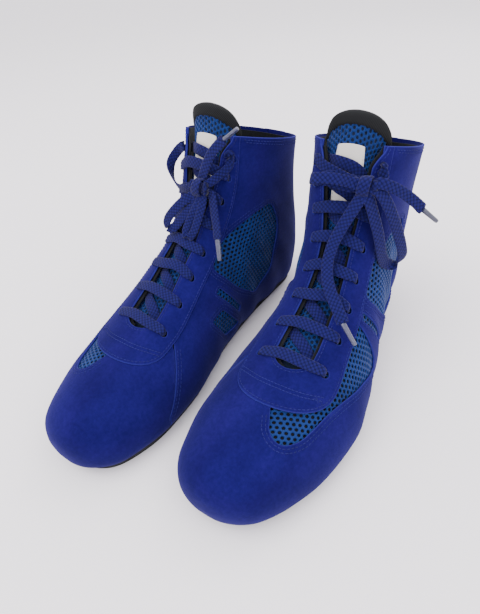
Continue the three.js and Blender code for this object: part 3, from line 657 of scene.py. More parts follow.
# ---- materials ----
def node_material(name, base, roughness, **sockets):
    """A material, its node tree, its shader and the object coordinates."""
    material = bpy.data.materials.new(name)
    material.use_nodes = True
    shader = material.node_tree.nodes["Principled BSDF"]
    shader.inputs["Base Color"].default_value = (*base, 1)
    shader.inputs["Roughness"].default_value = roughness
    for key, value in sockets.items():
        shader.inputs[key.replace("_", " ")].default_value = value
    coordinates = material.node_tree.nodes.new("ShaderNodeTexCoord")
    return material, material.node_tree, shader, coordinates.outputs["Object"]


def noise(tree, at, scale, detail=4.0, roughness=0.55, stretch=None):
    """A noise pattern from 0 to 1."""
    if stretch:
        mapping = tree.nodes.new("ShaderNodeMapping")
        mapping.inputs["Scale"].default_value = stretch
        tree.links.new(at, mapping.inputs["Vector"])
        at = mapping.outputs["Vector"]
    node = tree.nodes.new("ShaderNodeTexNoise")
    node.inputs["Scale"].default_value = scale
    node.inputs["Detail"].default_value = detail
    node.inputs["Roughness"].default_value = roughness
    tree.links.new(at, node.inputs["Vector"])
    return node.outputs["Fac"]


def colour_by(tree, factor, dark, light, low=0.35, high=0.65):
    """A colour that runs from dark to light as factor goes from low to high."""
    ramp = tree.nodes.new("ShaderNodeValToRGB")
    ramp.color_ramp.elements[0].position = low
    ramp.color_ramp.elements[0].color = (*dark, 1)
    ramp.color_ramp.elements[1].position = high
    ramp.color_ramp.elements[1].color = (*light, 1)
    tree.links.new(factor, ramp.inputs["Fac"])
    return ramp.outputs["Color"]


def blended(tree, first, second, factor=1.0, kind="MULTIPLY"):
    """Two colours blended by a number, or by a socket that gives it."""
    mix = tree.nodes.new("ShaderNodeMix")
    mix.data_type = "RGBA"
    mix.blend_type = kind
    if isinstance(factor, float):
        mix.inputs["Factor"].default_value = factor
    else:
        tree.links.new(factor, mix.inputs["Factor"])
    tree.links.new(first, mix.inputs["A"])
    tree.links.new(second, mix.inputs["B"])
    return mix.outputs["Result"]


def crown_of(tree):
    """The crown attribute: 0 at a cut edge or in a groove, 1 on the open face."""
    attribute = tree.nodes.new("ShaderNodeAttribute")
    attribute.attribute_name = "crown"
    return attribute.outputs["Fac"]


def bumped(tree, shader, heights):
    """Bumps one on another from (height, strength, depth in metres)."""
    last = None
    for height, strength, depth in heights:
        bump = tree.nodes.new("ShaderNodeBump")
        bump.inputs["Strength"].default_value = strength
        bump.inputs["Distance"].default_value = depth
        tree.links.new(height, bump.inputs["Height"])
        if last:
            tree.links.new(last, bump.inputs["Normal"])
        last = bump.outputs["Normal"]
    tree.links.new(last, shader.inputs["Normal"])


def suede_look():
    """Brushed blue suede with a paler cut edge."""
    material, tree, shader, at = node_material(
        "suede", (0.012, 0.02, 0.2), 0.95, Sheen_Weight=0.12, Sheen_Roughness=0.45,
        Sheen_Tint=(0.4, 0.4, 1, 1), Specular_IOR_Level=0.03)
    brushed = noise(tree, at, 38, 5, 0.6, (1, 0.6, 1))
    nap = noise(tree, at, 420, 6, 0.7)
    pile = noise(tree, at, 2600, 3, 0.6)
    patches = colour_by(tree, brushed, (0.0058, 0.0030, 0.062), (0.0096, 0.0052, 0.092), 0.34, 0.68)
    speckle = colour_by(tree, nap, (0.72, 0.74, 0.78), (1.12, 1.1, 1.06), 0.35, 0.66)
    cut_edge = colour_by(tree, pile, (0.013, 0.013, 0.13), (0.026, 0.026, 0.20))
    surface = blended(tree, patches, speckle)
    tree.links.new(blended(tree, cut_edge, surface, crown_of(tree), "MIX"), shader.inputs["Base Color"])
    bumped(tree, shader, [(brushed, 0.18, 0.0008), (nap, 0.35, 0.0004), (pile, 0.5, 0.00015)])
    return material


def air_mesh_look():
    """Dark blue knitted yarn."""
    material, tree, shader, at = node_material(
        "air_mesh", (0.02, 0.1, 0.3), 0.65, Sheen_Weight=0.1, Sheen_Roughness=0.4,
        Specular_IOR_Level=0.12)
    yarn = noise(tree, at, 2400, 3, 0.6, (1, 1, 0.4))
    tone = noise(tree, at, 60, 3)
    base = colour_by(tree, tone, (0.003, 0.016, 0.095), (0.0055, 0.026, 0.135))
    strands = colour_by(tree, yarn, (0.7, 0.7, 0.72), (1.15, 1.15, 1.1))
    tree.links.new(blended(tree, base, strands), shader.inputs["Base Color"])
    bumped(tree, shader, [(yarn, 0.7, 0.00018)])
    return material


def lace_look():
    """Braid with painted shade: its colour runs near black in the grooves between the strands, where shade
    falls, and lighter on the crowns.
    """
    material, tree, shader, at = node_material(
        "braid", (0.02, 0.03, 0.16), 0.8, Sheen_Weight=0.08, Sheen_Roughness=0.5, Specular_IOR_Level=0.06)
    fibre = noise(tree, at, 3200, 3, 0.6)
    tone = noise(tree, at, 500, 4, 0.6)
    # painted shade: colour by the crown attribute, near black in the braid's grooves and lighter on the
    # strands' crowns
    base = colour_by(tree, crown_of(tree), (0.0012, 0.0014, 0.018), (0.0085, 0.0075, 0.080), 0.12, 0.8)
    fuzz = colour_by(tree, fibre, (0.72, 0.74, 0.8), (1.2, 1.18, 1.1))
    tree.links.new(blended(tree, base, fuzz), shader.inputs["Base Color"])
    bumped(tree, shader, [(tone, 0.3, 0.0003), (fibre, 0.6, 0.00015)])
    return material


def knit_look(name, dark, light, scale=1500, sheen=0.2, roughness=0.9):
    """A fine cloth or board with a soft grain."""
    material, tree, shader, at = node_material(name, light, roughness, Sheen_Weight=sheen * 0.3,
                                                Specular_IOR_Level=0.12)
    weave = noise(tree, at, scale, 2, 0.5, (1, 1, 0.5))
    tone = noise(tree, at, 45, 4)
    base = colour_by(tree, tone, dark, light)
    grain = colour_by(tree, weave, (0.7, 0.7, 0.7), (1.2, 1.2, 1.2))
    tree.links.new(blended(tree, base, grain), shader.inputs["Base Color"])
    bumped(tree, shader, [(weave, 0.6, 0.0002), (tone, 0.1, 0.0005)])
    return material


def ribbed_look(name, dark, light, pitch=0.0009):
    """Twill with fine slanting ribs."""
    material, tree, shader, at = node_material(name, light, 0.85, Specular_IOR_Level=0.12)
    wave = tree.nodes.new("ShaderNodeTexWave")
    wave.bands_direction = "DIAGONAL"
    wave.inputs["Scale"].default_value = 0.31 / pitch
    wave.inputs["Distortion"].default_value = 0.6
    tree.links.new(at, wave.inputs["Vector"])
    grain = noise(tree, at, 2500, 3)
    tree.links.new(colour_by(tree, wave.outputs["Fac"], dark, light, 0.2, 0.9), shader.inputs["Base Color"])
    bumped(tree, shader, [(wave.outputs["Fac"], 0.5, 0.00012), (grain, 0.4, 0.0001)])
    return material


def rubber_look():
    """Black rubber with a little dust."""
    material, tree, shader, at = node_material("sole_rubber", (0.012, 0.012, 0.014), 0.75,
                                                Specular_IOR_Level=0.2)
    dust = noise(tree, at, 90, 6, 0.65)
    grain = noise(tree, at, 1800, 2)
    tree.links.new(colour_by(tree, dust, (0.008, 0.008, 0.010), (0.03, 0.03, 0.032), 0.4, 0.75),
                   shader.inputs["Base Color"])
    bumped(tree, shader, [(grain, 0.4, 0.0001)])
    return material


def aglet_look(name, dark, light):
    """Glossy crimped plastic."""
    material, tree, shader, at = node_material(name, light, 0.28, Coat_Weight=0.6, Coat_Roughness=0.15)
    crimp = noise(tree, at, 700, 2, 0.5, (0.4, 1, 1))
    tree.links.new(colour_by(tree, crimp, dark, light), shader.inputs["Base Color"])
    bumped(tree, shader, [(crimp, 0.35, 0.0002)])
    return material


LENS = 25.3
SENSOR_WIDTH = 36
CAMERA_PLACE = (0.1448, -0.2125, 0.268)
CAMERA_HEADING = (-0.582, 0.813, 0)
CAMERA_PITCH = math.radians(39.9)       # downwards
CAMERA_ROLL = math.radians(4.7)
FLOOR_REACH = 30.0
FLOOR_DROP = 0.0003                     # keeps the floor clear of the soles
LIGHT_AIM = (0, 0, 0.08)
LIGHTS = [("key", (-0.5, -0.7, 1.5), 1.2, 22), ("fill", (1.1, -0.2, 1.0), 1.2, 7),
          ("rim", (0.1, 1.3, 1.2), 1.0, 8)]     # name, place, size, power
SKY = (0.97, 0.96, 1.0, 1)
SKY_STRENGTH = 2.1


def add_camera():
    """The camera: ahead of the toes, a little to the left boot's outer side, looking down."""
    camera = bpy.data.objects.new("camera", bpy.data.cameras.new("camera"))
    bpy.context.scene.collection.objects.link(camera)
    bpy.context.scene.camera = camera
    camera.data.lens = LENS
    camera.data.sensor_width = SENSOR_WIDTH
    camera.data.clip_start = 0.01
    heading = Vector(CAMERA_HEADING).normalized()
    forward = heading * math.cos(CAMERA_PITCH) - Vector((0, 0, math.sin(CAMERA_PITCH)))
    right = forward.cross(Vector((0, 0, 1))).normalized()
    up = right.cross(forward)
    turned_up = up * math.cos(CAMERA_ROLL) + right * math.sin(CAMERA_ROLL)
    turned_right = right * math.cos(CAMERA_ROLL) - up * math.sin(CAMERA_ROLL)
    axes = Matrix((turned_right, turned_up, -forward)).transposed().to_4x4()
    camera.matrix_world = Matrix.Translation(CAMERA_PLACE) @ axes


def add_floor():
    """A wide pale floor just under the soles."""
    mesh = bpy.data.meshes.new("floor")
    corners = [(x * FLOOR_REACH, y * FLOOR_REACH, 0) for x, y in ((-1, -1), (1, -1), (1, 1), (-1, 1))]
    mesh.from_pydata(corners, [], [(0, 1, 2, 3)])
    floor = bpy.data.objects.new("floor", mesh)
    floor.location.z = -FLOOR_DROP
    bpy.context.scene.collection.objects.link(floor)
    paper, _, _, _ = node_material("floor_paper", (0.9, 0.86, 0.89), 0.9)
    mesh.materials.append(paper)


def add_lights():
    """Soft light from all round and three wide lamps."""
    world = bpy.data.worlds.new("studio")
    world.use_nodes = True
    background = world.node_tree.nodes["Background"]
    background.inputs["Color"].default_value = SKY
    background.inputs["Strength"].default_value = SKY_STRENGTH
    bpy.context.scene.world = world
    for name, at, size, power in LIGHTS:
        light = bpy.data.objects.new(name, bpy.data.lights.new(name, "AREA"))
        light.data.size = size
        light.data.energy = power
        light.location = at
        light.rotation_euler = (Vector(LIGHT_AIM) - Vector(at)).to_track_quat("-Z", "Y").to_euler()
        bpy.context.scene.collection.objects.link(light)


# ---- laces ----
LACE_THICKNESS = 1.3
EYELET_ROWS = [6.95, 7.95, 8.95, 9.95, 10.95, 12, 13.1, 14.3]
EYELET_INSET = 0.062
EYELET_RADIUS = 2.7
BRAID_PITCH = 3.1               # from one crossing strand to the next
BRAID_RELIEF = 0.45
RING_SIDES = 26


def local(point):
    """(x, s, z) to x, y, z of the boot."""
    x, s, z = point
    return np.array([x, HEEL_TO_MIDDLE - s, z], float)


def eyelet_v(t):
    """The girth position of the eyelets at section t."""
    return float(throat_half(t)) + EYELET_INSET


def on_face(t, v, height, width, along=False):
    """A lace stop on the upper's face: place, width, direction of the width."""
    if along:
        flat = last_point(t, v + 0.02) - last_point(t, v - 0.02)
    else:
        flat = last_point(t + 0.1, v) - last_point(t - 0.1, v)
    return (last_point(t, v) + face_normal(t, v) * height, width, unit(flat))


def through_eyelet(t, side):
    """Lace stops from above the throat's edge down through an eyelet to below it."""
    v = eyelet_v(t)
    route = [(v - 0.03, 2.5, 7), (v - 0.006, 2.4, 5.2), (v + 0.002, -0.8, 5), (v - 0.003, -3.6, 5),
             (v - 0.032, -5.1, 7)]
    return [on_face(t, side * position, height, width) for position, height, width in route]


def free_stops(route, flat, width):
    """Lace stops off the face, all with one width and direction of the width."""
    direction = np.array([flat[0], -flat[1], flat[2]], float)
    return [(local(at), width, direction) for at in route]


def held_lace(first_side, near, far):
    """The lace through the eyelets: bars over the throat, diagonals under it."""
    top = len(EYELET_ROWS) - 1
    far_side = -first_side
    stops = list(far) + through_eyelet(EYELET_ROWS[top], far_side)[:3]
    stops.append(on_face(14.2, far_side * (eyelet_v(14.3) + 0.012), -5.4, 5))
    for t in (13.5, 12.6, 11.6, 10.6, 9.6, 8.6, 7.8, 7.1):
        stops.append(on_face(t, far_side * (eyelet_v(t) + 0.075), -5.8, 7, along=True))
    hub = last_point(7.4, 0.02 * far_side)
    for t, v in ((6.62, 0.16), (6.4, 0.1), (6.33, 0), (6.42, -0.08)):
        at, width, _ = on_face(t, far_side * v, -5.1, 6)
        stops.append((at, width, unit(last_point(t, far_side * v) - hub)))
    stops += through_eyelet(EYELET_ROWS[0], first_side)[::-1][1:]
    for i, (t, following) in enumerate(zip(EYELET_ROWS, EYELET_ROWS[1:])):
        half = float(throat_half(t))
        wave = math.sin(2.3 * i + 0.5)
        stops.append(on_face(t + 0.05 * wave, first_side * half * 0.5, 1.9, 8.2))
        stops.append(on_face(t - 0.05 * wave, far_side * half * 0.5, 1.9, 8.2))
        stops += through_eyelet(t, far_side)
        stops.append(on_face(t + (following - t) * 0.38, far_side * half * 0.35, -3.0, 8))
        stops.append(on_face(t + (following - t) * 0.62, first_side * half * 0.35, -3.0, 8))
        stops += through_eyelet(following, first_side)[::-1]
    return stops + list(near)


def ribbon_path(stops, step=0.5):
    """Places, widths and width directions every step along a smooth curve through the stops."""
    places = np.array([s[0] for s in stops])
    values = np.hstack([places, np.array([[s[1]] for s in stops]), np.array([s[2] for s in stops])])
    curve = smooth(values, steps=12)
    length = run_length(curve[:, :3])
    even = np.linspace(0, length[-1], max(4, int(length[-1] / step)))
    even_curve = np.stack([np.interp(even, length, column) for column in curve.T], axis=1)
    return even_curve[:, :3], even_curve[:, 3], even_curve[:, 4:], even


def braid_height(length, across):
    """Crossing strands of a flat braid: rounded lozenges, 0 in the grooves and 1 on the crowns."""
    one = np.abs(np.sin(np.pi * (length + across) / BRAID_PITCH))
    other = np.abs(np.sin(np.pi * (length - across) / BRAID_PITCH))
    return np.sqrt(one * other)


def ribbon(stops, step=0.5, thickness=LACE_THICKNESS):
    """A flat braid along stops, as (points, faces, crowns), and its centreline."""
    centre, width, flat, length = ribbon_path(stops, step)
    tangent = unit(np.gradient(centre, axis=0))
    across = unit(flat - np.sum(flat * tangent, axis=1, keepdims=True) * tangent)
    for k in range(1, len(across)):
        if across[k] @ across[k - 1] < 0:
            across[k] *= -1
    normal = np.cross(tangent, across)
    upper = np.linspace(1, -1, RING_SIDES // 2)
    side_share = np.concatenate([upper, -upper])
    facing = np.where(np.arange(RING_SIDES) < len(upper), 1, -1)
    up_share = np.sqrt(1 - np.abs(side_share) ** 4 * 0.9) * facing
    crown = braid_height(length[:, None], side_share[None, :] * width[:, None] / 2)
    height = up_share[None, :] * (thickness / 2 + BRAID_RELIEF * (crown - 0.6))
    edge = side_share[None, :] * (width[:, None] / 2 + 0.15 * (crown - 0.5))
    points = (centre[:, None, :] + across[:, None, :] * edge[:, :, None]
              + normal[:, None, :] * height[:, :, None])
    return (points.reshape(-1, 3), ring_faces(len(centre), RING_SIDES), crown.ravel()), centre


# Free stretches, listed as (x, s, z) in the boot's own measures.
BOWS = {
    "left": {
        "first_side": -1,
        "knot": (15.5, 114, 148),
        "wrap": {"radii": (4.6, 6.2), "width": 7.6, "lean": 0.15},
        "near": free_stops([(-15, 105, 153.5), (-2, 109, 150.5), (6.5, 111.5, 149), (13, 113, 148.5)],
                           (0.1, -0.35, 1), 7),
        "far": free_stops([(17, 113, 148), (23, 109.5, 148), (25, 104.5, 149)], (0, -0.4, 1), 6),
        "end_a": {
            "loop": [(12, 115.5, 149), (6.5, 116.5, 150.5), (0, 120.5, 153), (-8, 123.5, 154),
                     (-14, 124, 153), (-17, 122.3, 151.6), (-17.5, 119.8, 150.4), (-15, 117.8, 149.8),
                     (-9, 117, 149.5), (-1, 115.6, 148), (6.3, 114, 146.5)],
            "loop_flat": (0, -0.45, 0.9), "loop_width": 7,
            "knot": [(12, 113.8, 147), (18.5, 113.6, 149)],
            "tail": [(24.2, 113, 151), (29.5, 110.5, 149.2), (35.5, 107, 145.5), (41, 103.5, 141),
                     (46, 100.8, 136.3), (50, 98.8, 132)],
            "tail_flat": (0.25, -0.5, 0.85), "tail_width": 7,
            "aglet": [(50.2, 98.6, 131.8), (60, 94.4, 123)]},
        "end_b": {
            "loop": [(18.5, 114.2, 148.5), (24, 113, 146.5), (30, 112, 139), (35, 110.5, 129),
                     (39.5, 107.5, 117), (43, 104, 105), (44.3, 101, 96), (42.5, 100, 90.5),
                     (38.5, 102.5, 88.5), (35, 107, 91.5), (33, 111.5, 98), (31.5, 114.5, 107),
                     (28.5, 116, 119), (24.5, 116.5, 130), (20.5, 116, 139.5)],
            "loop_flat": (0.45, -0.65, 0.3), "loop_width": 8,
            "knot": [(17.6, 115.2, 144.8), (15, 116, 144.5)],
            "tail": [(14, 117.5, 140.5), (10.5, 121, 132), (6, 126, 121), (3.4, 131, 111.5),
                     (3, 136.5, 103.5), (5, 142.5, 97), (9, 149, 92), (14.5, 155, 87.5),
                     (20.5, 160.5, 83), (25, 164.5, 78.5)],
            "tail_flat": (1, 0.1, 0), "tail_width": 8,
            "aglet": [(25.2, 164.7, 78.3), (36.5, 172, 69.5)]},
    },
    "right": {
        "first_side": 1,
        "knot": (-7, 120, 136.5),
        "wrap": {"radii": (4.6, 6.2), "width": 7.2, "lean": -0.1},
        "near": free_stops([(28, 101.5, 150.5), (32.5, 105.5, 142.5), (29, 110, 134.5), (19, 115, 130),
                            (9.5, 118.5, 131.5), (2, 119.5, 134), (-5, 120, 136)], (0.35, 0.2, 0.9), 7),
        "far": free_stops([(-9, 119.5, 137.5), (-14.6, 116.5, 140), (-18, 109.5, 143.5),
                           (-22.5, 102.5, 149)], (0.55, 0.4, 0.8), 6),
        "end_a": {
            "loop": [(-5, 120.5, 134.5), (-1.3, 121.5, 130), (4.5, 125.5, 126), (11, 129.5, 119.5),
                     (16.5, 132.5, 112.5), (18.3, 133.9, 107.5), (16.5, 134.5, 104.3),
                     (12.8, 133.9, 104.6), (9, 131.6, 108.5), (4, 128.3, 115.5), (-1.5, 124.5, 122.3),
                     (-4.4, 122.3, 126.6)],
            "loop_flat": (0.68, -0.1, 0.55), "loop_width": 7,
            "knot": [(-6, 120.8, 132.5), (-7, 118.5, 137.5)],
            "tail": [(-8, 116.5, 142), (-10, 115.5, 148), (-13, 114, 155), (-17, 112.3, 161.5),
                     (-21.5, 110.6, 166.5), (-25, 109.4, 169.5)],
            "tail_flat": (1, 0, 0.4), "tail_width": 7,
            "aglet": [(-25.4, 109.3, 169.8), (-35, 106, 177.5)]},
        "end_b": {
            "loop": [(-7, 120.5, 133.5), (-8, 121.5, 128.4), (-4.5, 126, 119.5), (-1, 129.5, 111),
                     (0.8, 132.2, 104.5), (-0.6, 133.6, 101), (-4, 133.6, 101.6), (-7, 131.4, 106.5),
                     (-9, 127.8, 114.5), (-10.2, 123.6, 122.5), (-10.4, 121.3, 127.4)],
            "loop_flat": (0.8, 0.15, 0.4), "loop_width": 6,
            "knot": [(-10.5, 119.6, 132), (-13.3, 117.8, 134)],
            "tail": [(-15.6, 117, 131), (-18, 119, 125), (-20.5, 121.5, 117.5), (-23.5, 124.5, 110),
                     (-26, 127.5, 103.5)],
            "tail_flat": (0.9, 0.1, -0.4), "tail_width": 7,
            "aglet": [(-26.1, 127.7, 103.2), (-32, 134.5, 90)]},
    },
}
AGLET_PROFILE = [(0, 1.2), (0.02, 1.75), (0.08, 1.9), (0.5, 1.7), (0.93, 1.6), (0.985, 1.35), (1, 0.6)]
AGLET_SIDES = 14


def aglet(ends):
    """A plastic sleeve crimped on the braid's end."""
    start, end = local(ends[0]), local(ends[1])
    axis = unit(end - start)
    side = unit(np.cross(axis, [0.3, 0.2, 1.0]))
    other = np.cross(axis, side)
    angles = np.arange(AGLET_SIDES) * 2 * np.pi / AGLET_SIDES
    rings = [start + (end - start) * share + radius * (np.cos(angles)[:, None] * side * 1.12
                                                       + np.sin(angles)[:, None] * other * 0.88)
             for share, radius in AGLET_PROFILE]
    return np.vstack(rings), ring_faces(len(rings), AGLET_SIDES)


WRAP_STOPS = 15
WRAP_SLIDE = 1.2                        # how far along the knot the wrap runs in its turn
TUCK_PLACES = (-7.5, -4, 0, 4, 7.5)
TUCK_TILTS = (0.5, -0.55)
TUCK_WIDTH = 6.5
TUCK_THICKNESS = 3.6


def knot_geometry(bow):
    """The knot: a tight wrap of braid over the crossing, and the tucked lace either side of it."""
    centre = local(bow["knot"])
    wrap = bow["wrap"]
    depth, height = wrap["radii"]
    stops = []
    for k, a in enumerate(np.linspace(0, 2 * np.pi, WRAP_STOPS)):
        slide = (k / (WRAP_STOPS - 1) - 0.5) * WRAP_SLIDE + wrap["lean"] * height * math.sin(a)
        place = centre + np.array([slide, depth * math.cos(a), height * math.sin(a)])
        stops.append((place, wrap["width"], np.array([1.0, 0.0, wrap["lean"]])))
    bands = [ribbon(stops)[0]]
    for tilt in TUCK_TILTS:
        route = [centre + np.array([x, 1.2 * math.cos(x / 4), tilt * x * 0.45]) for x in TUCK_PLACES]
        tucked = [(place, TUCK_WIDTH, np.array([0, 0.25, 1.0])) for place in route]
        bands.append(ribbon(tucked, thickness=TUCK_THICKNESS)[0])
    return joined(bands)


def lace_ends(name, side, looks):
    """The bow: two free ends, each a loop, its way through the knot and a tail with an aglet."""
    bow = BOWS[name]
    body = f"{name}_boot"
    knot_nodes = {"a": [f"{name}_knot"], "b": []}
    for letter in "ab":
        end = bow[f"end_{letter}"]
        look = looks["pale_aglet"] if (name, letter) == ("left", "a") else looks["aglet"]
        tip = add_piece(f"{name}_aglet_sleeve_{letter}", aglet(end["aglet"]), side, body, look,
                        [f"{name}_aglet_{letter}"], sharp=35)
        middle_flat = np.add(end["loop_flat"], end["tail_flat"])
        stops = (free_stops(end["loop"], end["loop_flat"], end["loop_width"])
                 + free_stops(end["knot"], middle_flat, 5.5)
                 + free_stops(end["tail"], end["tail_flat"], end["tail_width"])
                 + free_stops([end["aglet"][0]], end["tail_flat"], 3.4))
        braid, centre = ribbon(stops)
        nodes = [f"{name}_loop_{letter}", f"{name}_tail_{letter}"] + knot_nodes[letter]
        piece = add_piece(f"{name}_lace_end_{letter}", braid, side, body, looks["lace"], nodes,
                          sharp=None)


# ---- stitches ----
STITCH_PITCH = 2.7
STITCH_LENGTH = 2.1
STITCH_RADIUS = 0.3
# rings of a stitch: share of its length, share of its radius, lift in radii
STITCH_RINGS = ((-0.5, 0.25, -0.25), (-0.34, 0.85, 0.1), (0, 1, 0.3), (0.34, 0.85, 0.1),
                (0.5, 0.25, -0.25))
STITCH_SIDES = 6


def along_route(route, inset):
    """A (t, v) route moved left by inset millimetres, and the distance run at its places."""
    route = np.asarray(route, float)
    flat = to_strip(route)
    normal = left_of(unit(np.gradient(flat, axis=0)))
    here = last_point(*route.T)
    there = last_point(*from_strip(flat + normal * 0.2).T)
    scale = np.maximum(np.linalg.norm(there - here, axis=1, keepdims=True) / 0.2, 0.2)
    moved = from_strip(flat + normal * inset / scale)
    length = run_length(last_point(*moved.T))
    return moved, length


def stitch_row(route, inset, offset, pitch=STITCH_PITCH, size=1.0):
    """Separate thread stitches along a route, sunk a little into the face."""
    moved, length = along_route(route, inset)
    count = max(1, int(length[-1] / pitch))
    middles = (np.arange(count) + 0.5) * length[-1] / count
    at = lambda distance: np.stack([np.interp(distance, length, moved[:, k]) for k in (0, 1)], axis=1)
    centre_tv = at(middles)
    centre = face_point(*centre_tv.T, offset)
    ahead = face_point(*at(middles + 0.4).T, offset)
    back = face_point(*at(middles - 0.4).T, offset)
    tangent = unit(ahead - back)
    normal = face_normal(*centre_tv.T)
    across = np.cross(tangent, normal)
    angles = np.arange(STITCH_SIDES) * 2 * np.pi / STITCH_SIDES
    rings = []
    for share, girth, lift in STITCH_RINGS:
        middle = centre + tangent * share * STITCH_LENGTH * size + normal * lift * STITCH_RADIUS
        circle = (across[:, None] * np.cos(angles)[None, :, None]
                  + normal[:, None] * np.sin(angles)[None, :, None]) * STITCH_RADIUS * girth * size
        rings.append(middle[:, None] + circle)
    points = np.stack(rings, axis=1).reshape(-1, 3)
    per = len(STITCH_RINGS) * STITCH_SIDES
    one = ring_faces(len(STITCH_RINGS), STITCH_SIDES)
    return points, [tuple(k * per + i for i in face) for k in range(count) for face in one]


def closed(loop):
    """A loop with its first point again at its end."""
    return np.vstack([loop, loop[:1]])


def turned(loop, inward):
    """A closed loop turned so that its left side is inside it, or outside."""
    return loop if (signed_area(to_strip(loop)) > 0) == inward else loop[::-1]


# ---- air mesh ----
HEX_PITCH = 3.7
HOLE_RADIUS = 1.08
STRAND_DROP = 0.75                      # depth of a strand's side
CELL_CORNERS = 12


def girth_layout(centre_t, centre_v):
    """Millimetres along and round the boot about one place, to (t, v)."""
    spread = np.linspace(centre_t - 9, centre_t + 9, 361)
    spread = spread[(spread > 0.2) & (spread < LAST_SECTION)]
    line = last_point(spread, np.full(spread.shape, centre_v))
    run = run_length(line)
    run -= np.interp(centre_t, spread, run)
    girth = np.linalg.norm(last_point(spread, centre_v + 0.02) - last_point(spread, centre_v - 0.02),
                           axis=1) / 0.04

    def layout(u, w):
        t = np.interp(u, run, spread)
        return t, centre_v + w / np.interp(t, spread, girth)

    return layout


def side_layout(centre_s, centre_z, side):
    """Millimetres in side view about one place, to (t, v) on one side."""
    def layout(u, w):
        tv = from_side(np.stack([centre_s + u, centre_z + w], axis=1))
        return tv[:, 0], tv[:, 1] * side

    return layout


def hex_mesh(surface, half_length, half_width, keep, crest, pitch=HEX_PITCH):
    """Knitted air mesh: a hexagonal net with rounded strands. surface turns millimetres into
    (t, v), keep says which cells it has, and crest gives the strands' height."""
    row_step = pitch * math.sqrt(3) / 2
    cells = np.array([(i * pitch + (pitch / 2 if j % 2 else 0), j * row_step)
                      for j in range(-int(half_width / row_step), int(half_width / row_step) + 1)
                      for i in range(-int(half_length / pitch), int(half_length / pitch) + 1)])
    t, v = surface(*cells.T)
    cells = cells[keep(t, v)]
    corner = pitch / math.sqrt(3)
    spokes = np.arange(CELL_CORNERS)
    angles = spokes * 2 * np.pi / CELL_CORNERS
    outline = np.where(spokes % 2 == 1, corner, pitch / 2)
    # from the strand's crown to the foot of the hole's side: radius and drop
    profile = [(outline, 0.0), (outline * 0.45 + HOLE_RADIUS * 0.62, -0.12),
               (np.full(CELL_CORNERS, HOLE_RADIUS * 1.06), -0.4),
               (np.full(CELL_CORNERS, HOLE_RADIUS), -STRAND_DROP)]
    rings = []
    for radius, drop in profile:
        u = cells[:, :1] + radius * np.cos(angles)
        w = cells[:, 1:] + radius * np.sin(angles)
        t, v = surface(u.ravel(), w.ravel())
        rings.append(face_point(t, v, crest(t, v) + drop).reshape(len(cells), CELL_CORNERS, 3))
    points = np.stack(rings, axis=1).reshape(-1, 3)
    per = CELL_CORNERS * len(profile)
    one = np.array(ring_faces(len(profile), CELL_CORNERS)[:-2])
    quads = (one[None] + (np.arange(len(cells)) * per)[:, None, None]).reshape(-1, 4)
    # neighbouring cells share their outlines
    keys = np.round(points * 40).astype(np.int64)
    _, first, back = np.unique(keys, axis=0, return_index=True, return_inverse=True)
    quads = back.reshape(-1)[quads]
    points = points[first]
    normals = np.cross(points[quads[:, 1]] - points[quads[:, 0]], points[quads[:, 3]] - points[quads[:, 0]])
    t, v = surface(cells[:1, 0], cells[:1, 1])
    if np.median(normals @ face_normal(t, v)[0]) < 0:
        quads = quads[:, ::-1]
    good = np.array([len(set(q)) == 4 for q in quads.tolist()])
    return points, quads[good].tolist()


def keep_inside(outline):
    """A test of whether (t, v) lies inside an outline."""
    loop = to_strip(outline)
    return lambda t, v: inside(to_strip(np.stack([t, v], axis=1)), loop)


# ---- the shared pieces of a boot ----
def eyelet_loops():
    """The eyelets as (t, v) loops, round on the surface."""
    loops = []
    angles = np.linspace(0, 2 * np.pi, 20, endpoint=False)
    for t in EYELET_ROWS:
        for side in (1, -1):
            v = side * eyelet_v(t)
            length_t = np.linalg.norm(last_point(t + 0.1, v) - last_point(t - 0.1, v)) / 0.2
            length_v = np.linalg.norm(last_point(t, v + 0.01) - last_point(t, v - 0.01)) / 0.02
            loops.append(np.stack([t + EYELET_RADIUS / length_t * np.cos(angles),
                                   v + EYELET_RADIUS / length_v * np.sin(angles)], axis=1))
    return loops


def lining_offset(t, v):
    """The lining's depth: close behind the face at the throat and the collar, deeper elsewhere."""
    near = np.clip((throat_half(t) + 0.16 - np.abs(v)) / 0.06, 0, 1) * np.clip((t - 6.3) / 0.5, 0, 1)
    collar = np.clip((t - 15) / 1.5, 0, 1) * np.clip((np.abs(v) - 0.2) / 0.1, 0, 1)
    shallow = np.maximum(near, 0.85 * collar)
    return LINING_DEEP + (LINING_NEAR_THROAT - LINING_DEEP) * shallow


TONGUE_EDGE = [(6.1, 0.09), (6.6, 0.125), (7.6, 0.155), (8.7, 0.18), (9.8, 0.2), (11, 0.22),
               (12.2, 0.235), (13.4, 0.245), (14.8, 0.25), (16.2, 0.25), (17.0, 0.225), (17.6, 0.165),
               (17.88, 0.08), (17.95, 0)]
TONGUE_PILLOW = (TONGUE_HALF, 6.0)
TONGUE_NET_RISE = 0.75                  # the net's crest above the foam's face
BINDING_OUTER = [(16.2, 0.268), (16.8, 0.262), (17.3, 0.24), (17.8, 0.185), (18.08, 0.1), (18.16, 0)]
BINDING_INNER = [(16.2, 0.236), (16.5, 0.2), (16.75, 0.13), (16.88, 0.06), (16.9, 0)]
BINDING_LIMIT = ([0, 0.06, 0.13, 0.2, 0.24, 0.3], [17.25, 17.2, 17.05, 16.8, 16.5, 16.4])
BINDING_RISE = 1.5
BINDING_PILLOW = (TONGUE_HALF + 1.2, 2.6)
LABEL_T = (12.0, 15.2)
LABEL_V = (-0.082, 0.078)
LABEL_FACES = (1.4, 0.95)               # its outer and inner face above the foam's face
LABEL_STITCH_RISE = 1.35


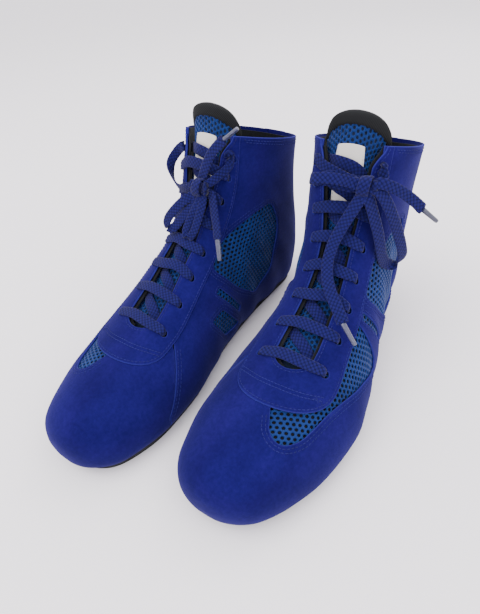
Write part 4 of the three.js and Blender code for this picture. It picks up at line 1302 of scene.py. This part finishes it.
def tongue_outline(grow=0.0):
    """The tongue's edge, from low on the outer side over its top to the inner side."""
    edge = smooth(TONGUE_EDGE, steps=4)
    lateral = [(t, v + grow) for t, v in edge[:-1]]
    return np.vstack([lateral, [(edge[-1][0] + grow * 8, 0)], [(t, -v) for t, v in lateral[::-1]]])


def tongue_top(t, v):
    """The offset of the foam's outer face: crowned between the facings, with slight quilting."""
    crown = np.clip(1 - (np.abs(v) / (throat_half(t) + 0.02)) ** 2, 0, 1)
    label = ((t > LABEL_T[0] - 0.3) & (t < LABEL_T[1] + 0.2)).astype(float)
    quilt = 0.15 * np.sin(2.2 * t)
    return TONGUE_MIDDLE + TONGUE_HALF + TONGUE_CROWN * crown * (1 - 0.15 * label) + quilt * crown


def side_region(outline, side, steps=6):
    """A window drawn in side view, as a smooth closed (t, v) loop on one side."""
    loop = smooth(from_side(outline), closed=True, steps=steps)
    return loop if side > 0 else medial(loop)


def slot_region(outline, side):
    """A slot drawn in side view, as a closed (t, v) loop with rounded corners."""
    loop = rounded(from_side(outline), 0.12)
    return loop if side > 0 else medial(loop)


def grown_region(loop, share):
    """A loop made larger about its middle."""
    centre = loop.mean(axis=0)
    return centre + (loop - centre) * share


REGIONS = {
    "ankle_lateral": side_region(ANKLE_WINDOW, 1),
    "ankle_medial": side_region(ANKLE_WINDOW, -1),
    "slot_lateral": slot_region(LATERAL_SLOT, 1),
    "slot_medial": slot_region(MEDIAL_SLOT, -1),
    "vamp_medial": slot_region(MEDIAL_VAMP_WINDOW, -1),
}


# centre, half length and half width of each net, in millimetres about its centre
VAMP_NET_OUTER = ((6.6, 0.2), 62, 40)   # centre as (t, v)
VAMP_NET_INNER = ((140, 35), 26, 26)    # centre as (s, z)
ANKLE_NET = ((100, 68), 52, 46)         # centre as (s, z)
TONGUE_NET = ((12.0, 0.0), 110, 42)     # centre as (t, v)
ANKLE_BULGE = 0.9
PUFF_BACK = 3.9
COUNTER_FRONT = 12.2
COUNTER_TOP = [(14.0, 0.86), (15.0, 0.87), (15.2, 1.0)]
HIDDEN_EDGE = {"radius": 0.3, "step": 2.5}


def flat_crest(t, v):
    """Strands that lie even with the mesh's crest."""
    return np.full(np.shape(t), MESH_CREST)


def bulging_crest(loop, rise):
    """Strands that bulge by rise in the middle of a window."""
    centre = loop.mean(axis=0)
    reach = np.abs(loop - centre).max(axis=0)
    return lambda t, v: MESH_CREST + rise * np.clip(
        1 - ((t - centre[0]) / reach[0]) ** 2 - ((v - centre[1]) / reach[1]) ** 2, 0, 1)


def suede_pieces(eyelets):
    """The cut suede of the upper."""
    outer_holes = [REGIONS["ankle_lateral"], REGIONS["slot_lateral"]]
    inner_holes = [REGIONS["ankle_medial"], REGIONS["slot_medial"], REGIONS["vamp_medial"]]
    cuts = [("toe_cap", "toe_piece", panel(toe_outline(), domain=DISC)),
            ("eyestay", "facing", panel(facing_outline(), eyelets, offsets=TOP_SUEDE)),
            ("outer_quarter", "quarter_lateral", panel(quarter_outline(True), outer_holes)),
            ("inner_quarter", "quarter_medial", panel(quarter_outline(False), inner_holes)),
            ("heel_strip", "backstay", panel(backstay_outline(), offsets=TOP_SUEDE))]
    return {name: (geometry, "suede", "suede", [node], 50) for name, node, geometry in cuts}


def net_pieces():
    """The air mesh behind the windows and slots."""
    window_back = [(8.95, 0.46), (8.95, 0.16), (7.5, 0.16), (6.2, 0.12), (5.55, 0.02)]
    window = grown_region(np.vstack([smooth(WINDOW_LOWER, steps=4), window_back]), 1.06)
    inner_window = grown_region(REGIONS["vamp_medial"], 1.25)
    place, *size = VAMP_NET_OUTER
    outer = hex_mesh(girth_layout(*place), *size, keep_inside(window), flat_crest)
    place, *size = VAMP_NET_INNER
    inner = hex_mesh(side_layout(*place, -1), *size, keep_inside(inner_window), flat_crest)
    nets = [("vamp_net_outer", "vamp_mesh_lateral", outer), ("vamp_net_inner", "vamp_mesh_medial", inner)]
    place, *size = ANKLE_NET
    for word, node, sign in (("outer", "lateral", 1), ("inner", "medial", -1)):
        ankle = REGIONS[f"ankle_{node}"]
        in_ankle = keep_inside(grown_region(ankle, 1.12))
        in_slot = keep_inside(grown_region(REGIONS[f"slot_{node}"], 1.35))
        keep = lambda t, v: in_ankle(t, v) | in_slot(t, v)
        net = hex_mesh(side_layout(*place, sign), *size, keep, bulging_crest(ankle, ANKLE_BULGE))
        nets.append((f"ankle_net_{word}", f"ankle_mesh_{node}", net))
    return {name: (geometry, "mesh", "mesh", [node], None) for name, node, geometry in nets}


def lining_pieces(eyelets):
    """The two halves of the lining."""
    under = lambda t, v: lining_offset(t, v) - LINING_THICKNESS
    pieces = {}
    for word, node, sign in (("outer", "lateral", 1), ("inner", "medial", -1)):
        holes = [loop for loop in eyelets if loop[:, 1].mean() * sign > 0]
        half = panel(lining_outline(sign), holes, offsets=(lining_offset, under), radius=0.3, step=2.2)
        pieces[f"lining_{word}"] = (half, "lining", "lining", [f"lining_{node}"], 50)
    return pieces


def stiffener_pieces():
    """The hidden sheets that hold the toe and the heel in shape."""
    puff_edge = np.vstack([sole_line(PUFF_BACK, SOLE_TIP + 0.3, 20),
                           sole_line(SOLE_TIP + 0.3, PUFF_BACK, 20, -1)])
    back_v = float(sole_v([3.4])[0])
    puff_back = [(PUFF_BACK, v) for v in np.linspace(-back_v, back_v, 24)[1:-1]]
    puff = panel(np.vstack([puff_edge, puff_back]), domain=DISC, offsets=STIFFENER, **HIDDEN_EDGE)
    counter_t = np.linspace(COUNTER_FRONT, HEEL_TIP - 0.05, 12)[:-1]
    low = list(zip(counter_t, sole_v(counter_t, 5.0, -2.0)))
    other = [(t, 2 - v) for t, v in low][::-1]
    top = [(t, 2 - v) for t, v in COUNTER_TOP] + COUNTER_TOP[-2::-1]
    counter_edge = np.array(low + [(HEEL_TIP + 0.05, 1.0)] + other + top)
    counter = panel(counter_edge, offsets=STIFFENER, **HIDDEN_EDGE)
    return {"toe_stiffener": (puff, "stiffener", "stiffener", ["toe_puff"], 50),
            "heel_stiffener": (counter, "stiffener", "stiffener", ["heel_counter"], 50)}


def upper_pieces():
    """name: (geometry, look, slot, replaced nodes, sharp angle) of the boot's own upper."""
    eyelets = eyelet_loops()
    return {**suede_pieces(eyelets), **net_pieces(), **lining_pieces(eyelets), **stiffener_pieces()}


# distances of the thread rows from their edges, in millimetres
DOUBLE_ROW = (2.2, 4.6)
WINDOW_ROWS = (2.4, 4.8)
COLLAR_ROWS = (3.0, 5.2)
SINGLE_ROW = 2.0
THROAT_ROW = 2.2
BACKSTAY_ROW = 1.8
THROAT_BOX = [(6.28, 0.19), (6.05, 0.11), (5.98, 0.02), (6.05, -0.08), (6.32, -0.19)]
THROAT_BOX_GAP = 0.11                   # between its two rows, in sections


def window_rows():
    """Thread rows round the windows and slots."""
    rows = [stitch_row(smooth(WINDOW_LOWER, steps=6)[4:], inset, FLAT_SUEDE[0]) for inset in DOUBLE_ROW]
    for key in ("ankle_lateral", "ankle_medial", "vamp_medial"):
        loop = closed(turned(REGIONS[key], inward=False))
        rows += [stitch_row(loop, inset, FLAT_SUEDE[0]) for inset in WINDOW_ROWS]
    for key in ("slot_lateral", "slot_medial"):
        loop = closed(turned(REGIONS[key], inward=False))
        rows.append(stitch_row(loop, SINGLE_ROW, FLAT_SUEDE[0]))
    return rows


def edge_rows():
    """Thread rows along the throat, the facing, the collar, the backstay and the seams."""
    rows = [stitch_row(throat_edge(), THROAT_ROW, TOP_SUEDE[0]),
            stitch_row(facing_edge()[3:-3], SINGLE_ROW, TOP_SUEDE[0])]
    collar_v = np.linspace(BACKSTAY_EDGE - 0.005, FACING_HALF + 0.02, 60)
    for sign in (1, -1):
        collar = np.stack([collar_t(collar_v), sign * collar_v], axis=1)
        rows += [stitch_row(collar, -sign * inset, FLAT_SUEDE[0]) for inset in COLLAR_ROWS]
    low = float(heel_section(BACKSTAY_EDGE)) + 0.25
    stay = np.array([(t, BACKSTAY_EDGE) for t in np.linspace(low, float(collar_t(0.95)) - 0.1, 60)])
    for route, sign in ((stay, 1), (np.stack([stay[:, 0], 2 - stay[:, 1]], axis=1), -1)):
        rows.append(stitch_row(route, sign * BACKSTAY_ROW, TOP_SUEDE[0]))
    rows += [stitch_row(dense(MEDIAL_SEAM), -inset, FLAT_SUEDE[0]) for inset in DOUBLE_ROW]
    lateral_v = np.linspace(0.5, float(sole_v(8.6)) - 0.02, 24)
    lateral_seam = np.array([(QUARTER_FRONT, v) for v in lateral_v])
    rows.append(stitch_row(lateral_seam, -DOUBLE_ROW[0], FLAT_SUEDE[0]))
    return rows


def throat_box_rows():
    """The double row and the zigzag tack below the throat."""
    rows = []
    for shift in (0, THROAT_BOX_GAP):
        box = [(t + shift, v) for t, v in smooth(THROAT_BOX, steps=8)]
        rows.append(stitch_row(box, 0, TOP_SUEDE[0], 2.3))
    tack = [(6.18 + 0.09 * (k % 2), 0.155 + 0.011 * k) for k in range(6)]
    rows.append(stitch_row(tack, 0, TOP_SUEDE[0], 1.4, 0.7))
    return rows


def upper_stitches():
    """Thread rows of the upper, as one piece of many separate stitches."""
    return joined(window_rows() + edge_rows() + throat_box_rows())


def tongue_pieces():
    """name: (geometry, look, slot, replaced nodes, sharp angle) of the padded tongue."""
    raised = lambda lift: (lambda t, v: tongue_top(t, v) + lift)
    level = lambda z: (lambda t, v: np.full(len(t), z))
    pad = panel(tongue_outline(), offsets=(tongue_top, level(TONGUE_MIDDLE - TONGUE_HALF)),
                pillow=TONGUE_PILLOW, step=2.0)
    t0, t1 = LABEL_T
    v0, v1 = LABEL_V
    in_edge = keep_inside(tongue_outline(-0.012))
    under_binding = lambda t, v: (t > 15.5) & (t > np.interp(np.abs(v), *BINDING_LIMIT))
    under_label = lambda t, v: (t > t0 + 0.15) & (t < t1 - 0.15) & (v > v0 + 0.015) & (v < v1 - 0.015)
    in_sight = lambda t, v: in_edge(t, v) & ~under_binding(t, v) & ~under_label(t, v)
    place, *size = TONGUE_NET
    net = hex_mesh(girth_layout(*place), *size, in_sight, raised(TONGUE_NET_RISE))
    outer_arc = smooth(BINDING_OUTER, steps=4)
    inner_arc = smooth(BINDING_INNER, steps=4)
    band = np.vstack([outer_arc, medial(outer_arc[:-1][::-1]), medial(inner_arc), inner_arc[:-1][::-1]])
    binding = panel(band, offsets=(raised(BINDING_RISE), level(TONGUE_MIDDLE - TONGUE_HALF - 1)),
                    pillow=BINDING_PILLOW, step=1.6)
    patch = rounded([(t0, v0), (t0, v1), (t1, v1), (t1, v0)], 0.04)
    label = panel(patch, offsets=[raised(lift) for lift in LABEL_FACES], radius=0.25, step=1.5)
    return {
        "tongue_pad": (pad, "pad", "foam", ["tongue_foam", "tongue_lining"], None),
        "tongue_net": (net, "mesh", "mesh", ["tongue_mesh"], None),
        "tongue_edge": (binding, "binding", "binding", ["tongue_binding"], None),
        "tongue_patch": (label, "label", "label", ["tongue_label"], 50),
    }


def tongue_stitches():
    """The thread row round the tongue's label."""
    t0, t1 = LABEL_T
    v0, v1 = LABEL_V
    corners = [(t0, v0), (t0, v1), (t1, v1), (t1, v0), (t0, v0)]
    loop = np.vstack([np.linspace(a, b, 30) for a, b in zip(corners, corners[1:])])
    face = float(tongue_top(np.array([13.5]), np.array([0.05]))[0])
    return stitch_row(turned(loop, inward=True), 1.2, face + LABEL_STITCH_RISE, 2.2, 0.8)


# ---- the bottom ----
def plan_outline(offset, z, count=90):
    """The last's outline at height z grown by offset, as x, y points seen from above."""
    sections = np.concatenate([np.linspace(1.2, 3.4, 20), np.linspace(3.6, 12.6, count),
                               np.linspace(12.7, 13.8, 16)])
    halves = []
    for side in (1, -1):
        v = sole_v(sections, z, offset)
        points = last_point(sections, side * v) + face_normal(sections, side * v) * offset
        lies = np.abs(points[:, 2] - z) < 0.6
        halves.append(points[lies][:, :2])
    return np.vstack([halves[0], halves[1][::-1]])


def inward_of(outline):
    """Unit directions into a closed flat outline at its points."""
    left = left_of(unit(np.roll(outline, -1, axis=0) - np.roll(outline, 1, axis=0)))
    return left if signed_area(outline) > 0 else -left


def shrunk_rings(outline, layers):
    """The outline moved inwards and set at a height, for each (shrink, z)."""
    inward = inward_of(outline)
    return np.vstack([np.column_stack([outline + inward * shrink, np.full(len(outline), z)])
                      for shrink, z in layers])


def flipped(faces, flip):
    """Faces turned over when flip is true."""
    return [tuple(reversed(f)) for f in faces] if flip else faces


def plate(outline, layers):
    """A closed plate over an [x, y] outline: layers are (shrink, z) from the bottom up."""
    faces = ring_faces(len(layers), len(outline))
    return shrunk_rings(outline, layers), flipped(faces, signed_area(outline) < 0)


def border(outline, section):
    """A rib that follows an [x, y] outline: section is its (shrink, z) all round."""
    faces = ring_faces(len(section), len(outline), ends_joined=True)
    return shrunk_rings(outline, section), flipped(faces, signed_area(outline) > 0)


SLAB_FLOOR = 1.2                        # height of the slab's underside above the floor
RIB_ROOT = SLAB_FLOOR + 0.2             # ribs and studs reach a little into the slab
STUD_PITCH = 6.2
STUD_RADIUS = 2.5
STUD_SIDES = 8
STUD_CLEARANCE = 0.6
STUD_EDGE = 7.5                         # from the sole's edge to the first stud's middle
PIVOT_CENTRE = (0.0, -62.0)
PIVOT_RADII = (8.0, 14.0, 20.0, 26.0)
PIVOT_HALF = 1.3                        # half width of a ring
PIVOT_TOP = 1.3
PIVOT_SIDES = 48
SLAB_LAYERS = [(1.0, SLAB_FLOOR), (0.25, SLAB_FLOOR + 0.15), (0.0, SLAB_FLOOR + 0.6), (0.0, 3.3),
               (0.3, 3.85), (0.9, 4.0)]
BORDER_SECTION = [(0.1, RIB_ROOT), (0.1, 0.5), (0.5, 0.05), (1.0, 0.0), (3.6, 0.0), (4.0, 0.3),
                  (4.0, RIB_ROOT)]
FOOTBED_LAYERS = [(0.6, 6.3), (0.2, 6.5), (0.0, 7.0), (0.1, 8.4), (0.8, 9.0), (2.5, 9.15)]


def circles(centre, profile, sides, start=0.0):
    """Level circles one above another, from (radius, z)."""
    angles = np.arange(sides) * 2 * np.pi / sides + start
    return np.vstack([np.column_stack([centre[0] + r * np.cos(angles), centre[1] + r * np.sin(angles),
                                       np.full(sides, z)]) for r, z in profile])


def stud(place):
    """A small eight-sided stud with a softened foot."""
    profile = ((STUD_RADIUS * 0.84, 0.0), (STUD_RADIUS * 0.97, 0.25), (STUD_RADIUS, RIB_ROOT))
    points = circles(place, profile, STUD_SIDES, np.pi / STUD_SIDES)
    return points, ring_faces(len(profile), STUD_SIDES)


def pivot_ring(radius):
    """A round rib under the ball of the foot."""
    inner, outer = radius - PIVOT_HALF, radius + PIVOT_HALF
    profile = ((inner, PIVOT_TOP), (inner, 0.2), (inner + 0.2, 0.0),
               (outer - 0.2, 0.0), (outer, 0.2), (outer, PIVOT_TOP))
    points = circles(PIVOT_CENTRE, profile, PIVOT_SIDES)
    return points, ring_faces(len(profile), PIVOT_SIDES, ends_joined=True)


def sole_pieces():
    """name: (geometry, look, slot, replaced nodes, sharp angle) of the bottom."""
    outline = plan_outline(-0.6, 5)
    parts = [plate(outline, SLAB_LAYERS), border(outline, BORDER_SECTION)]
    parts += [pivot_ring(radius) for radius in PIVOT_RADII]
    spots = staggered_grid(outline.min(axis=0), outline.max(axis=0), STUD_PITCH)
    spots = spots[inside(spots, outline + inward_of(outline) * STUD_EDGE)]
    away = np.hypot(*(spots - PIVOT_CENTRE).T)
    clear = PIVOT_RADII[-1] + PIVOT_HALF + STUD_RADIUS + STUD_CLEARANCE
    parts += [stud(spot) for spot in spots[away > clear]]
    bed = plate(plan_outline(-4.3, 9), FOOTBED_LAYERS)
    return {
        "tread": (joined(parts), "rubber", "rubber", ["outsole"], 30),
        "footbed": (bed, "footbed", "lining", ["sockliner"], 40),
    }


# ---- assembly ----
def all_looks():
    """Every material by its short name."""
    return {
        "suede": suede_look(),
        "mesh": air_mesh_look(),
        "lace": lace_look(),
        "lining": knit_look("charcoal_lining", (0.004, 0.0045, 0.006), (0.010, 0.011, 0.014)),
        "pad": knit_look("tongue_cover", (0.004, 0.008, 0.022), (0.008, 0.014, 0.034), 1200, 0.05),
        "footbed": knit_look("footbed_cloth", (0.012, 0.013, 0.018), (0.028, 0.030, 0.038), 1100),
        "stiffener": knit_look("stiffener_sheet", (0.35, 0.32, 0.26), (0.48, 0.45, 0.38), 600, 0.0),
        "board": knit_look("fibre_board", (0.40, 0.35, 0.27), (0.58, 0.53, 0.43), 500, 0.0),
        "binding": ribbed_look("binding_twill", (0.005, 0.0055, 0.006), (0.014, 0.0145, 0.016)),
        "label": ribbed_look("label_weave", (0.50, 0.47, 0.44), (0.66, 0.63, 0.60), 0.0006),
        "thread": knit_look("thread", (0.007, 0.007, 0.07), (0.015, 0.014, 0.13), 3000, 0.1),
        "pale_thread": knit_look("label_thread", (0.30, 0.30, 0.32), (0.5, 0.5, 0.5), 3000, 0.3),
        "rubber": rubber_look(),
        "aglet": aglet_look("aglet_plastic", (0.015, 0.017, 0.05), (0.035, 0.038, 0.09)),
        "pale_aglet": aglet_look("pale_aglet_plastic", (0.01, 0.012, 0.035), (0.025, 0.028, 0.06)),
    }


def main():
    """The camera, the stage and both boots."""
    add_camera()
    add_floor()
    add_lights()
    looks = all_looks()
    for name, side in SIDES:
        lace_ends(name, side, looks)
    boot = {**upper_pieces(), **sole_pieces()}
    boot["upper_thread"] = (upper_stitches(), "thread", "suede", [], None)
    tongue = tongue_pieces()
    tongue["label_thread"] = (tongue_stitches(), "pale_thread", "label", [], None)
    for name, side in SIDES:
        bow = BOWS[name]
        for body, pieces in ((f"{name}_boot", boot), (f"{name}_tongue", tongue)):
            for key, (geometry, look, slot_name, nodes, sharp) in pieces.items():
                piece = add_piece(f"{name}_{key}", geometry, side, body, looks[look],
                                  [f"{name}_{node}" for node in nodes], sharp)
        held, _ = ribbon(held_lace(bow["first_side"], bow["near"], bow["far"]))
        boot_body = f"{name}_boot"
        add_piece(f"{name}_laced", held, side, boot_body, looks["lace"], [f"{name}_lace"], None)
        add_piece(f"{name}_bow_knot", knot_geometry(bow), side, boot_body, looks["lace"], (), None)
        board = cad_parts[f"{name}_lasting_board"]
        board.data.materials.clear()
        board.data.materials.append(looks["board"])


main()
